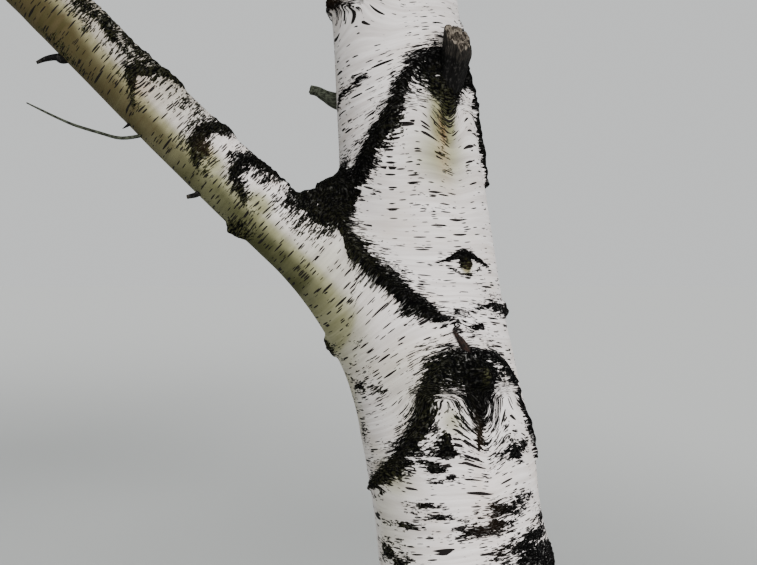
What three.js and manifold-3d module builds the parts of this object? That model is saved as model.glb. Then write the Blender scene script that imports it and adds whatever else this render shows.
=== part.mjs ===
// A whole silver birch, in millimetres, +Z up, standing on the flat cut under its trunk.
// Seen from the front, which is from -Y, the trunk leans to the left, which is -X.
// The low left bough leaves the trunk at a person's chest height.
import * as THREE from 'three';
import { mergeVertices } from 'three/addons/utils/BufferGeometryUtils.js';
import Module from 'manifold-3d';

const wasm = await Module();
wasm.setup();

// Driving sizes of the stem. A station is a place along a limb and the value there.
const TREE_HEIGHT = 15000;
const TRUNK_TOP = 13800;
const TRUNK_LEAN_LEFT = [
  [0, 3], [800, 10], [1100, 10.5], [1170, 7.5], [1250, 7.5], [1310, 11.5], [1380, 11], [1480, 6],
  [1800, 5], [1950, 7.5], [3200, 5], [6500, 1], [TRUNK_TOP, -1.5],
];
const TRUNK_LEAN_BACK = [[0, 1], [2400, 0], [6000, 2.5], [10000, -2], [TRUNK_TOP, 0]];
const TRUNK_HALF_WIDTH = [
  [0, 176], [500, 162], [900, 152], [1040, 145], [1100, 139.5], [1160, 140], [1250, 142.5], [1330, 136],
  [1640, 122], [1950, 107], [4000, 94], [8000, 62], [11500, 30], [TRUNK_TOP, 9],
];
const ROOT_COUNT = 5;
const ROOT_SPREAD = 128;
const ROOT_DEPTH = 0.42;
const ROOT_RISE = 210;
const ROOT_UNEVEN = 0.6;

// The low left bough: its place on the trunk's axis, its heading and its rise.
const LOW_BOUGH_HEIGHT = 1357;
const LOW_BOUGH_HEADING = 192;
const LOW_BOUGH_LENGTH = 3700;
const LOW_BOUGH_RISE = [
  [0, 42], [300, 42.2], [500, 43.6], [650, 44.4], [900, 44.2], [2200, 58], [LOW_BOUGH_LENGTH, 38],
];
const LOW_BOUGH_HALF_WIDTH = [
  [0, 58], [320, 55.5], [500, 54], [650, 50.5], [870, 46.5], [2200, 35], [LOW_BOUGH_LENGTH, 23],
];
const LOW_MASS = { reach: 1330, width: 1250, halfHeight: 1010 };

// The upper boughs wind up the trunk, each turned on from the one below.
const UPPER_BOUGH_COUNT = 11;
const UPPER_BOUGH_LOWEST = 3250;
const UPPER_BOUGH_HIGHEST = 11300;
const FIRST_HEADING = 8;
const TURN_BETWEEN_BOUGHS = 137.5;
const BOUGH_LENGTH = [1950, 800];
const BOUGH_RISE_AT_TRUNK = [40, 62];
const BOUGH_RISE_AT_END = [16, 48];
const BOUGH_SHARE_OF_TRUNK = 0.44;
const BOUGH_END_SHARE = 0.42;
const BOUGH_SWELL = 1.25;
const BOUGH_SWELL_ENDS = 0.12;

// The leaf masses: one for each bough, a pair hanging below each of the lowest, and one round the tip.
const MASS_REACH = [1300, 900];
const MASS_WIDTH = [1500, 1080];
const MASS_HALF_HEIGHT = [1150, 1120];
const MASS_SET_OUT = 0.42;
const MASS_NARROWS = 0.14;
const MASS_RISE = 12;
const MASS_DROOP = 0.3;
const HANGING_PAIRS = 6;
const HANGING_TURN = 44;
const HANGING_SET_OUT = 0.56;
const HANGING_DROP = 1.12;
const HANGING_SHARES = { reach: 0.4, width: 0.42, halfHeight: 0.86, halfHeightSpread: 0.1 };
const HANGING_NARROWS = -0.34;
const TOP_MASS = { reach: 880, width: 860, halfHeight: 1640, narrows: 0.46 };
const UNEVEN = 0.17;
const UNEVEN_WAVES = 5;
const UNEVEN_SLOWEST = 2.4;
const UNEVEN_PACE_SPREAD = 3.2;

// Broken stubs of dead limbs on the trunk and the bough.
const STUBS = [
  {
    name: 'stub_upper', on: 'trunk', place: 1815, heading: -48, rise: 68, length: 90, from: 88,
    halfWidths: [25, 20],
  },
  {
    name: 'stub_left', on: 'trunk', place: 1800, heading: 184, rise: 26, length: 62, from: 98,
    halfWidths: [8.5, 6],
  },
  {
    name: 'stub_bough', on: 'bough', place: 762, heading: 176, rise: -14, length: 58, from: 42,
    halfWidths: [6.5, 4],
  },
];

// Clear gaps between neighbouring pieces.
const SEAT_GAP = 0.5;

const TRUNK_SIDES = 18;
const TRUNK_RINGS = 26;
const RINGS_CROWD_DOWN = 1.6;
const AXIS_STEP = 25;
const BOUGH_SIDES = 8;
const STUB_SIDES = 8;
const MASS_DETAIL = 2;
const HANGING_DETAIL = 1;
const LOW_BOUGH_STEPS = 18;
const BOUGH_STEPS = 6;
const DEGREE = Math.PI / 180;

const bark = new THREE.MeshStandardMaterial({ color: 0xcfc8bf, roughness: 0.85, metalness: 0 });
const deadWood = new THREE.MeshStandardMaterial({ color: 0x2f2a24, roughness: 0.95, metalness: 0 });
const foliage = new THREE.MeshStandardMaterial({ color: 0x5f8a3a, roughness: 0.8, metalness: 0 });

// A value between the two stations on either side of a place.
function stationValue(stations, place) {
  if (place <= stations[0][0]) return stations[0][1];
  for (let i = 1; i < stations.length; i += 1) {
    const [start, low] = stations[i - 1];
    const [end, high] = stations[i];
    if (place <= end) return THREE.MathUtils.mapLinear(place, start, end, low, high);
  }
  return stations[stations.length - 1][1];
}

// A repeatable stream of numbers from 0 to 1.
function randomStream(seed) {
  let state = seed >>> 0;
  return () => {
    state = (state + 0x6d2b79f5) >>> 0;
    let mixed = Math.imul(state ^ (state >>> 15), 1 | state);
    mixed = (mixed + Math.imul(mixed ^ (mixed >>> 7), 61 | mixed)) ^ mixed;
    return ((mixed ^ (mixed >>> 14)) >>> 0) / 4294967296;
  };
}

// A closed body from rings of points, each ring with the same count, and a flat cap on both ends.
function ringBody(rings) {
  const sides = rings[0].length;
  const last = (rings.length - 1) * sides;
  const positions = rings.flat().flatMap((point) => [point.x, point.y, point.z]);
  const index = [];
  for (let ring = 0; ring < rings.length - 1; ring += 1) {
    for (let side = 0; side < sides; side += 1) {
      const a = ring * sides + side;
      const b = ring * sides + ((side + 1) % sides);
      index.push(a, b, b + sides, a, b + sides, a + sides);
    }
  }
  for (let side = 1; side < sides - 1; side += 1) {
    index.push(0, side + 1, side);
    index.push(last, last + side, last + side + 1);
  }
  const geometry = new THREE.BufferGeometry();
  geometry.setAttribute('position', new THREE.Float32BufferAttribute(positions, 3));
  geometry.setIndex(index);
  return geometry;
}

// The trunk's axis: its lean is summed up from the ground in short steps.
function trunkAxis(height) {
  const axis = new THREE.Vector3();
  for (let z = 0; z < height; z += AXIS_STEP) {
    const rise = Math.min(AXIS_STEP, height - z);
    const middle = z + rise / 2;
    axis.x -= rise * Math.tan(stationValue(TRUNK_LEAN_LEFT, middle) * DEGREE);
    axis.y += rise * Math.tan(stationValue(TRUNK_LEAN_BACK, middle) * DEGREE);
    axis.z += rise;
  }
  return axis;
}

// The trunk's half width at a height, wider towards the ground where the roots run out.
function trunkRadius(height, angle) {
  const lobes = 0.5 + 0.5 * Math.cos(ROOT_COUNT * angle + ROOT_UNEVEN * Math.sin(angle));
  const flare = ROOT_SPREAD * Math.exp(-height / ROOT_RISE);
  return stationValue(TRUNK_HALF_WIDTH, height) + flare * (1 - ROOT_DEPTH + ROOT_DEPTH * lobes);
}

function trunkBody(grow = 0) {
  const rings = [];
  for (let ring = 0; ring <= TRUNK_RINGS; ring += 1) {
    const height = TRUNK_TOP * (ring / TRUNK_RINGS) ** RINGS_CROWD_DOWN;
    const centre = trunkAxis(height);
    const points = [];
    for (let side = 0; side < TRUNK_SIDES; side += 1) {
      const angle = (side / TRUNK_SIDES) * 2 * Math.PI;
      const radius = trunkRadius(height, angle) + grow;
      points.push(new THREE.Vector3(
        centre.x + radius * Math.cos(angle),
        centre.y + radius * Math.sin(angle),
        centre.z,
      ));
    }
    rings.push(points);
  }
  rings[TRUNK_RINGS].forEach((point) => { point.z += grow; });
  return ringBody(rings);
}

// A unit vector from a heading round the trunk and a rise above level.
function direction(heading, rise) {
  const level = Math.cos(rise * DEGREE);
  return new THREE.Vector3(
    level * Math.cos(heading * DEGREE),
    level * Math.sin(heading * DEGREE),
    Math.sin(rise * DEGREE),
  );
}

// The points along a limb's axis, from its root, with its rise given by stations.
function limbAxis(root, heading, riseStations, length, steps) {
  const points = [root.clone()];
  const stride = length / steps;
  for (let step = 0; step < steps; step += 1) {
    const rise = stationValue(riseStations, (step + 0.5) * stride);
    points.push(points[step].clone().addScaledVector(direction(heading, rise), stride));
  }
  return points;
}

// A tapering round limb about its axis points.
function limbBody(limb, sides, grow = 0) {
  const { points, length, halfWidths } = limb;
  const across = new THREE.Vector3(-Math.sin(limb.heading * DEGREE), Math.cos(limb.heading * DEGREE), 0);
  const steps = points.length - 1;
  const rings = points.map((point, step) => {
    const before = points[Math.max(step - 1, 0)];
    const after = points[Math.min(step + 1, steps)];
    const along = after.clone().sub(before).normalize();
    const up = along.clone().cross(across).negate().normalize();
    const radius = stationValue(halfWidths, (step / steps) * length) + grow;
    const ring = [];
    for (let side = 0; side < sides; side += 1) {
      const angle = (side / sides) * 2 * Math.PI;
      ring.push(point.clone()
        .addScaledVector(across, radius * Math.cos(angle))
        .addScaledVector(up, -radius * Math.sin(angle))
        .addScaledVector(along, step === steps ? grow : 0));
    }
    return ring;
  });
  return ringBody(rings);
}

// An uneven closed mass of leaves that narrows upwards, and whose outer side hangs lower.
function massBody(mass, grow = 0) {
  const random = randomStream(mass.seed);
  const waves = [];
  for (let wave = 0; wave < UNEVEN_WAVES; wave += 1) {
    waves.push({
      way: new THREE.Vector3(random() - 0.5, random() - 0.5, random() - 0.5).normalize(),
      pace: UNEVEN_SLOWEST + UNEVEN_PACE_SPREAD * random(),
      phase: random() * 2 * Math.PI,
    });
  }
  const ball = new THREE.IcosahedronGeometry(1, mass.detail);
  ball.deleteAttribute('normal');
  ball.deleteAttribute('uv');
  const geometry = mergeVertices(ball);
  const position = geometry.getAttribute('position');
  const point = new THREE.Vector3();
  for (let i = 0; i < position.count; i += 1) {
    point.fromBufferAttribute(position, i).normalize();
    const bulge = waves.reduce(
      (sum, wave) => sum + Math.sin(wave.pace * point.dot(wave.way) + wave.phase), 0,
    );
    const swell = 1 + (UNEVEN * bulge) / Math.sqrt(waves.length);
    const hang = mass.droop * Math.max(point.x, 0) ** 2;
    const spread = swell * (1 - mass.narrows * point.z);
    point.set(
      point.x * (mass.reach * spread + grow),
      point.y * (mass.width * spread + grow),
      point.z * (mass.halfHeight * swell + grow) - hang,
    );
    point.applyAxisAngle(new THREE.Vector3(0, 0, 1), mass.heading * DEGREE).add(mass.centre);
    position.setXYZ(i, point.x, point.y, point.z);
  }
  return geometry;
}

// Between a solid for cutting and a plain geometry.
function toSolid(geometry) {
  return new wasm.Manifold(new wasm.Mesh({
    numProp: 3,
    vertProperties: new Float32Array(geometry.getAttribute('position').array),
    triVerts: new Uint32Array(geometry.getIndex().array),
  }));
}

function toGeometry(solid) {
  const mesh = solid.getMesh();
  const geometry = new THREE.BufferGeometry();
  geometry.setAttribute('position', new THREE.BufferAttribute(mesh.vertProperties, 3));
  geometry.setIndex(new THREE.BufferAttribute(mesh.triVerts, 1));
  return geometry;
}

function largestBody(solid) {
  return solid.decompose().reduce((best, body) => (body.volume() > best.volume() ? body : best));
}

function boxesMeet(a, b) {
  const first = a.boundingBox();
  const second = b.boundingBox();
  return [0, 1, 2].every((axis) => first.min[axis] < second.max[axis] && second.min[axis] < first.max[axis]);
}

// What is left of a solid outside a list of others.
function cutBy(solid, cutters) {
  return cutters.reduce((left, cutter) => (boxesMeet(left, cutter) ? left.subtract(cutter) : left), solid);
}

const tree = new THREE.Group();

function addPiece(name, solid, material) {
  const mesh = new THREE.Mesh(toGeometry(solid), material);
  mesh.name = name;
  tree.add(mesh);
}

// Which side of the tree a heading points to, as a plain word for a name.
function sideName(heading) {
  const words = ['right', 'back_right', 'back', 'back_left', 'left', 'front_left', 'front', 'front_right'];
  return words[Math.round(heading / 45) % words.length];
}

// The limbs, as data: the low left bough, and the upper boughs in a loop.
const lowBough = {
  name: 'bough_low_left',
  heading: LOW_BOUGH_HEADING,
  length: LOW_BOUGH_LENGTH,
  halfWidths: LOW_BOUGH_HALF_WIDTH,
  points: limbAxis(
    trunkAxis(LOW_BOUGH_HEIGHT), LOW_BOUGH_HEADING, LOW_BOUGH_RISE, LOW_BOUGH_LENGTH, LOW_BOUGH_STEPS,
  ),
};

const boughs = [lowBough];
for (let i = 0; i < UPPER_BOUGH_COUNT; i += 1) {
  const share = i / (UPPER_BOUGH_COUNT - 1);
  const between = ([low, high]) => THREE.MathUtils.lerp(low, high, share);
  const height = between([UPPER_BOUGH_LOWEST, UPPER_BOUGH_HIGHEST]);
  const heading = (FIRST_HEADING + i * TURN_BETWEEN_BOUGHS) % 360;
  const length = between(BOUGH_LENGTH);
  const width = stationValue(TRUNK_HALF_WIDTH, height) * BOUGH_SHARE_OF_TRUNK;
  const rise = [[0, between(BOUGH_RISE_AT_TRUNK)], [length, between(BOUGH_RISE_AT_END)]];
  boughs.push({
    name: `bough_${i + 1}_${sideName(heading)}`,
    heading,
    length,
    share,
    halfWidths: [
      [0, width * BOUGH_SWELL], [length * BOUGH_SWELL_ENDS, width], [length, width * BOUGH_END_SHARE],
    ],
    points: limbAxis(trunkAxis(height), heading, rise, length, BOUGH_STEPS),
  });
}

// A mass sits on the end of its bough and sticks out past it.
function massOnBough(bough, sizes, seed) {
  const points = bough.points;
  const end = points[points.length - 1];
  return {
    name: `leaves_${bough.name.replace('bough_', '')}`,
    heading: bough.heading,
    centre: end.clone().addScaledVector(direction(bough.heading, MASS_RISE), sizes.reach * MASS_SET_OUT),
    droop: sizes.reach * MASS_DROOP,
    narrows: MASS_NARROWS,
    detail: MASS_DETAIL,
    seed,
    ...sizes,
  };
}

// A hanging mass is held by the outer side of the mass above it, turned to one side of its middle.
function hangingMass(above, side, seed) {
  const heading = above.heading + side * HANGING_TURN;
  return {
    name: above.name.replace('leaves_', side < 0 ? 'leaves_hanging_a_' : 'leaves_hanging_b_'),
    heading,
    centre: above.centre.clone()
      .addScaledVector(direction(heading, 0), above.reach * HANGING_SET_OUT)
      .add(new THREE.Vector3(0, 0, -above.halfHeight * HANGING_DROP)),
    reach: above.reach * HANGING_SHARES.reach,
    width: above.width * HANGING_SHARES.width,
    halfHeight: above.halfHeight * (HANGING_SHARES.halfHeight + HANGING_SHARES.halfHeightSpread * side),
    droop: 0,
    narrows: HANGING_NARROWS,
    detail: HANGING_DETAIL,
    seed,
  };
}

const boughMasses = [massOnBough(lowBough, LOW_MASS, 99)];
boughs.slice(1).forEach((bough, i) => {
  const between = ([low, high]) => THREE.MathUtils.lerp(low, high, bough.share);
  const sizes = {
    reach: between(MASS_REACH),
    width: between(MASS_WIDTH),
    halfHeight: between(MASS_HALF_HEIGHT),
  };
  boughMasses.push(massOnBough(bough, sizes, 100 + i));
});

const topMass = {
  name: 'leaves_top',
  heading: 0,
  centre: trunkAxis(TREE_HEIGHT - TOP_MASS.halfHeight),
  droop: 0,
  detail: MASS_DETAIL,
  seed: 52,
  ...TOP_MASS,
};

const hangingMasses = boughMasses.slice(0, HANGING_PAIRS)
  .flatMap((mass, i) => [hangingMass(mass, -1, 200 + i), hangingMass(mass, 1, 300 + i)]);
const allMasses = [...boughMasses, topMass, ...hangingMasses];

// A stub is short, and starts inside the limb that carries it, on its skin's inner side.
function stubLimb(stub) {
  const onTrunk = stub.on === 'trunk';
  const along = (stub.place / LOW_BOUGH_LENGTH) * (lowBough.points.length - 1);
  const lower = lowBough.points[Math.floor(along)];
  const upper = lowBough.points[Math.ceil(along)];
  const axis = onTrunk ? trunkAxis(stub.place) : lower.clone().lerp(upper, along % 1);
  const length = stub.length;
  return {
    name: stub.name,
    heading: stub.heading,
    length,
    halfWidths: [[0, stub.halfWidths[0]], [length, stub.halfWidths[1]]],
    points: limbAxis(
      axis.addScaledVector(direction(stub.heading, onTrunk ? 0 : stub.rise), stub.from),
      stub.heading, [[0, stub.rise]], length, 2,
    ),
  };
}

// Each piece is cut by what carries it, so that it seats on it with a narrow gap.
addPiece('trunk', toSolid(trunkBody()), bark);
const trunkCutter = toSolid(trunkBody(SEAT_GAP));
const boughCutters = boughs.map((bough) => toSolid(limbBody(bough, BOUGH_SIDES, SEAT_GAP)));

boughs.forEach((bough) => {
  addPiece(bough.name, largestBody(cutBy(toSolid(limbBody(bough, BOUGH_SIDES)), [trunkCutter])), bark);
});

STUBS.map(stubLimb).forEach((stub) => {
  const carriers = [trunkCutter, boughCutters[0]];
  addPiece(stub.name, largestBody(cutBy(toSolid(limbBody(stub, STUB_SIDES)), carriers)), deadWood);
});

allMasses.forEach((mass, i) => {
  const earlier = allMasses.slice(0, i).map((other) => toSolid(massBody(other, SEAT_GAP)));
  const solid = cutBy(toSolid(massBody(mass)), [trunkCutter, ...boughCutters, ...earlier]);
  addPiece(mass.name, largestBody(solid), foliage);
});

export default tree;
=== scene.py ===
# %% [markdown]
# A silver birch, built as a whole tree
#
# This script is a lesson in growing one tree around a fixed frame of plain solids. The frame gives the
# trunk, the boughs and the masses of foliage at their real size. Each of them is replaced here: the limbs
# by meshes that carry the relief of the bark, and the masses by twigs and leaves that grow on from them.

# %% Load the frame
import math

import bmesh
import bpy
import numpy as np
from mathutils import Matrix, Vector
from mathutils.bvhtree import BVHTree


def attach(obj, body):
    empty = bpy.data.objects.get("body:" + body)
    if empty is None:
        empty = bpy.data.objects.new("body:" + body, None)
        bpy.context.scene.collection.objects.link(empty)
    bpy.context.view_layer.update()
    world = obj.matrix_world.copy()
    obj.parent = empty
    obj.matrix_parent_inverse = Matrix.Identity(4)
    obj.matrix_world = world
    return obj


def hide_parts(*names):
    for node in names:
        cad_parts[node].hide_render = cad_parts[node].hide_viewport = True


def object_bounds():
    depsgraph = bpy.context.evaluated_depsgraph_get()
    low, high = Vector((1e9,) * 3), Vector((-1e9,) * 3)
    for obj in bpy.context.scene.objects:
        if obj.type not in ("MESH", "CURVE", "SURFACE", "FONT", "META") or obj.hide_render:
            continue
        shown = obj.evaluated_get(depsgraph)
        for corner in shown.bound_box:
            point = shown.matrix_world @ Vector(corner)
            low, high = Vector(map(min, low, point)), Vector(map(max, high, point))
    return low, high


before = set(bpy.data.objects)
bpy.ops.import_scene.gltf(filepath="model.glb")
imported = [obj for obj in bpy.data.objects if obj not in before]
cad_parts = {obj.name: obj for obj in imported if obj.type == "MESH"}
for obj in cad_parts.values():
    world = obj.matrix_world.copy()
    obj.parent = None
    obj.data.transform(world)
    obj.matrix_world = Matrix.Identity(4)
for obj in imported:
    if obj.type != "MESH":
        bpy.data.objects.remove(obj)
cad_low, cad_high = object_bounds()
print("CAD box", [round(v, 2) for v in (*cad_low, *cad_high)])

# %% [markdown]
# The camera
#
# The picture to match is a level view at eye height of the trunk where its low bough leaves it. A lens of
# 50 mm on a 36 mm sensor sees the trunk at one size only from one distance, so the distance is worked out
# from the size of a pixel at the trunk. The crown is far above the frame's edge.

# %% Camera
IMAGE_WIDTH = 757
PIXEL_AT_TRUNK = 0.00166
LENS = 50
SENSOR = 36
EYE_HEIGHT = 1.5
TRUNK_FOOT_PIXEL = 548.2
camera_distance = PIXEL_AT_TRUNK * IMAGE_WIDTH * LENS / SENSOR
camera_x = (IMAGE_WIDTH / 2 - TRUNK_FOOT_PIXEL) * PIXEL_AT_TRUNK

camera_data = bpy.data.cameras.new("camera")
camera_data.lens = LENS
camera_data.sensor_width = SENSOR
camera_data.sensor_fit = "HORIZONTAL"
camera_data.clip_end = 1000
camera = bpy.data.objects.new("camera", camera_data)
camera.location = (camera_x, -camera_distance, EYE_HEIGHT)
camera.rotation_euler = (math.pi / 2, 0, 0)
bpy.context.scene.collection.objects.link(camera)
bpy.context.scene.camera = camera
print("camera", round(camera_distance, 3), "m from the trunk")

# %% [markdown]
# Stations and limbs
#
# Every limb is told by a few stations: a place along it and a value there. The trunk's stations are its
# lean and its half width at a height, and its axis is the sum of its leans. A bough's are its rise and its
# half width. They are the frame's own values, in metres, so the bark lies where the plain solids are.

# %% Limb stations
TRUNK_TOP = 13.8
LEAN_LEFT = [(0, 3), (0.8, 10), (1.1, 10.5), (1.17, 7.5), (1.25, 7.5), (1.31, 11.5), (1.38, 11),
             (1.48, 6), (1.8, 5), (1.95, 7.5), (3.2, 5), (6.5, 1), (TRUNK_TOP, -1.5)]
LEAN_BACK = [(0, 1), (2.4, 0), (6, 2.5), (10, -2), (TRUNK_TOP, 0)]
HALF_WIDTH = [(0, 0.176), (0.5, 0.162), (0.9, 0.152), (1.04, 0.145), (1.1, 0.1395), (1.16, 0.140),
              (1.25, 0.1425), (1.33, 0.136), (1.64, 0.122), (1.95, 0.107), (4, 0.094), (8, 0.062),
              (11.5, 0.030), (TRUNK_TOP, 0.009)]
ROOT_COUNT = 5
ROOT_SPREAD = 0.128
ROOT_DEPTH = 0.42
ROOT_RISE = 0.21
ROOT_UNEVEN = 0.6
LOW_BOUGH = {
    "height": 1.357, "heading": 192, "length": 3.7,
    "rise": [(0, 42), (0.3, 42.2), (0.5, 43.6), (0.65, 44.4), (0.9, 44.2), (2.2, 58), (3.7, 38)],
    "width": [(0, 0.058), (0.32, 0.0555), (0.5, 0.054), (0.65, 0.0505), (0.87, 0.0465), (2.2, 0.035),
              (3.7, 0.023)],
}


def at_stations(stations, places):
    """The values between stations at an array of places."""
    where, values = zip(*stations)
    return np.interp(places, where, values)


AXIS_STEP = 0.005
AXIS_PAST_TIP = 1.6
TILT_SPAN = 0.08
LIMB_STEP = 0.02
axis_heights = np.arange(0, TRUNK_TOP + AXIS_PAST_TIP, AXIS_STEP)
axis_middles = axis_heights + AXIS_STEP / 2
axis_x = -np.cumsum(AXIS_STEP * np.tan(np.radians(at_stations(LEAN_LEFT, axis_middles))))
axis_y = np.cumsum(AXIS_STEP * np.tan(np.radians(at_stations(LEAN_BACK, axis_middles))))


def trunk_centre(z):
    """The trunk's axis at an array of heights."""
    return np.interp(z, axis_heights, axis_x), np.interp(z, axis_heights, axis_y)


def trunk_tilt(z, x):
    """How much further up the leaning trunk a place is that lies x to the right of its axis."""
    higher = trunk_centre(z + TILT_SPAN / 2)[0]
    lower = trunk_centre(z - TILT_SPAN / 2)[0]
    return x * (higher - lower) / TILT_SPAN


def trunk_half_width(z, x, y):
    """The trunk's half width towards (x, y) from its axis, with the roots' lobes near the ground."""
    angle = np.arctan2(y, x)
    lobes = 0.5 + 0.5 * np.cos(ROOT_COUNT * angle + ROOT_UNEVEN * np.sin(angle))
    flare = ROOT_SPREAD * np.exp(-np.maximum(z, 0) / ROOT_RISE)
    return at_stations(HALF_WIDTH, z) + flare * (1 - ROOT_DEPTH + ROOT_DEPTH * lobes)


def heading_vector(heading, rise=0.0):
    """One metre along a heading, 0 to the right and 90 to the back, at a rise above level."""
    level = math.cos(math.radians(rise))
    return np.array([
        level * math.cos(math.radians(heading)),
        level * math.sin(math.radians(heading)),
        math.sin(math.radians(rise)),
    ])


def limb_axis(root, heading, rise_stations, length, step=LIMB_STEP):
    """Points every step along a limb's axis, and how far along they are."""
    along = np.arange(0, length + step / 2, step)
    rises = at_stations(rise_stations, along[:-1] + step / 2)
    strides = np.array([heading_vector(heading, rise) * step for rise in rises])
    return np.vstack([root, root + np.cumsum(strides, axis=0)]), along


low_root = np.array([*trunk_centre(LOW_BOUGH["height"]), LOW_BOUGH["height"]])
low_points, low_along = limb_axis(low_root, LOW_BOUGH["heading"], LOW_BOUGH["rise"], LOW_BOUGH["length"])
low_side = np.cross(heading_vector(LOW_BOUGH["heading"]), (0, 0, 1))
print("low bough ends at", np.round(low_points[-1], 2))

# %% The upper boughs' sizes
UPPER_COUNT = 11
UPPER_HEIGHTS = (3.25, 11.3)
UPPER_LENGTHS = (1.95, 0.8)
RISES_AT_TRUNK = (40, 62)
RISES_AT_END = (16, 48)
FIRST_HEADING = 8
TURN_BETWEEN_BOUGHS = 137.5
SHARE_OF_TRUNK = 0.44
BOUGH_SWELL = 1.25
BOUGH_SWELL_ENDS = 0.12
BOUGH_END_SHARE = 0.42
UPPER_SIDES = ["right", "back_left", "front", "back_right", "left", "front_right", "back_left", "front",
               "back_right", "left", "front_right"]


def between(first, last, share):
    """The value at a share of the way from first to last."""
    return first + (last - first) * share


def upper_bough(i):
    """One of the upper boughs: they wind up the trunk and grow shorter, thinner and steeper."""
    share = i / (UPPER_COUNT - 1)
    height = between(*UPPER_HEIGHTS, share)
    length = between(*UPPER_LENGTHS, share)
    half_width = float(at_stations(HALF_WIDTH, height)) * SHARE_OF_TRUNK
    return {
        "height": height, "heading": (FIRST_HEADING + TURN_BETWEEN_BOUGHS * i) % 360, "length": length,
        "rise": [(0, between(*RISES_AT_TRUNK, share)), (length, between(*RISES_AT_END, share))],
        "width": [(0, BOUGH_SWELL * half_width), (BOUGH_SWELL_ENDS * length, half_width),
                  (length, BOUGH_END_SHARE * half_width)],
    }


upper_boughs = [upper_bough(i) for i in range(UPPER_COUNT)]
print("upper boughs from", upper_boughs[0]["height"], "to", upper_boughs[-1]["height"], "m")

# %% [markdown]
# The fork as one skin
#
# On a real birch the trunk and its bough are one skin of wood: the bough's underside sweeps down into the
# trunk, and only the crotch above is sharp, with a small lump of bark in it. Two tubes pushed together would
# leave a hard crease all round. So both are told as distances, and a smooth minimum of the two gives one
# surface. A voxel remesh of the tubes gives even faces, and each vertex is then moved onto that surface.

# %% The fork's surface as a distance
SHARP_BLEND = 0.10
SOFT_BLEND = 0.13
UNDER_REACH = 0.09
LEVEL_TO_SQUARE = 0.985
LEAST_GRADE = 0.2
FORK_LOW = 0.95
FORK_HIGH = 2.1
BOUGH_CUT = 1.04
NEAR_FORK = 1.4
LUMP_ENDS = ((-0.386, -0.032, 1.628), (-0.356, -0.016, 1.644))
LUMP_SIZE = 0.015
LUMP_BLEND = 0.03


def least(first, second, blend):
    """The smaller of two distances, with a smooth blend where they are alike."""
    share = np.clip(0.5 + 0.5 * (first - second) / blend, 0, 1)
    return first * (1 - share) + second * share - blend * share * (1 - share)


def to_lump(points):
    """The distance from the lump of bark that fills the crotch."""
    start, end = np.array(LUMP_ENDS)
    stride = end - start
    share = np.clip((points - start) @ stride / (stride @ stride), 0, 1)
    return np.linalg.norm(points - start - share[:, None] * stride, axis=1) - LUMP_SIZE


def on_low_bough(points):
    """How far along the low bough's axis each point is, how far off it, how far above and how far across."""
    best = np.full(len(points), np.inf)
    along = np.zeros(len(points))
    above = np.zeros(len(points))
    across = np.zeros(len(points))
    for start in range(0, round(NEAR_FORK / LIMB_STEP), 2):
        a, b = low_points[start], low_points[start + 2]
        stride = b - a
        length = np.linalg.norm(stride)
        share = np.clip((points - a) @ stride / length**2, 0, 1)
        offset = points - a - share[:, None] * stride
        off = np.linalg.norm(offset, axis=1)
        closer = off < best
        best[closer] = off[closer]
        along[closer] = (low_along[start] + share * length)[closer]
        up = np.cross(low_side, stride / length)
        above[closer] = (offset @ up)[closer]
        across[closer] = (offset @ low_side)[closer]
    return along, best, above, across


def fork_distance(points):
    """The distance from the skin of trunk and low bough, and each limb's own distance."""
    cx, cy = trunk_centre(points[:, 2])
    dx, dy = points[:, 0] - cx, points[:, 1] - cy
    to_trunk = (np.hypot(dx, dy) - trunk_half_width(points[:, 2], dx, dy)) * LEVEL_TO_SQUARE
    along, off, above, _ = on_low_bough(points)
    to_bough = off - at_stations(LOW_BOUGH["width"], along)
    under = np.clip(0.5 - above / UNDER_REACH, 0, 1)
    blend = SHARP_BLEND + (SOFT_BLEND - SHARP_BLEND) * under
    skin = least(least(to_bough, to_trunk, blend), to_lump(points), LUMP_BLEND)
    return skin, to_trunk, to_bough


def slope(field, points, reach=0.002):
    """The gradient of a field at each point, from differences."""
    parts = []
    for axis in range(3):
        shift = np.zeros(3)
        shift[axis] = reach
        parts.append((field(points + shift) - field(points - shift)) / (2 * reach))
    return np.stack(parts, axis=1)


def settle_on_skin(points, rounds=4):
    """Moves points along the field's slope until they lie on the skin."""
    for _ in range(rounds):
        away = fork_distance(points)[0]
        grade = slope(lambda p: fork_distance(p)[0], points)
        length = np.maximum((grade**2).sum(axis=1), LEAST_GRADE)
        points = points - grade * (away / length)[:, None]
    return points


# %% Small mesh helpers
def new_object(name, vertices, faces):
    """A mesh object at the origin from arrays of vertices and faces, all faces with the same corner count."""
    mesh = bpy.data.meshes.new(name)
    vertices = np.asarray(vertices, dtype=np.float32)
    faces = np.asarray(faces, dtype=np.int32)
    mesh.vertices.add(len(vertices))
    mesh.vertices.foreach_set("co", vertices.ravel())
    corners = faces.shape[1]
    mesh.loops.add(faces.size)
    mesh.loops.foreach_set("vertex_index", faces.ravel())
    mesh.polygons.add(len(faces))
    mesh.polygons.foreach_set("loop_start", np.arange(0, faces.size, corners, dtype=np.int32))
    mesh.update(calc_edges=True)
    piece = bpy.data.objects.new(name, mesh)
    bpy.context.scene.collection.objects.link(piece)
    return piece


def coordinates(mesh):
    """An array of a mesh's vertices."""
    values = np.empty(len(mesh.vertices) * 3, dtype=np.float32)
    mesh.vertices.foreach_get("co", values)
    return values.reshape(-1, 3).astype(float)


def vertex_normals(mesh):
    """An array of the normals at a mesh's vertices."""
    values = np.empty(len(mesh.vertices) * 3, dtype=np.float32)
    mesh.vertex_normals.foreach_get("vector", values)
    return values.reshape(-1, 3).astype(float)


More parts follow.
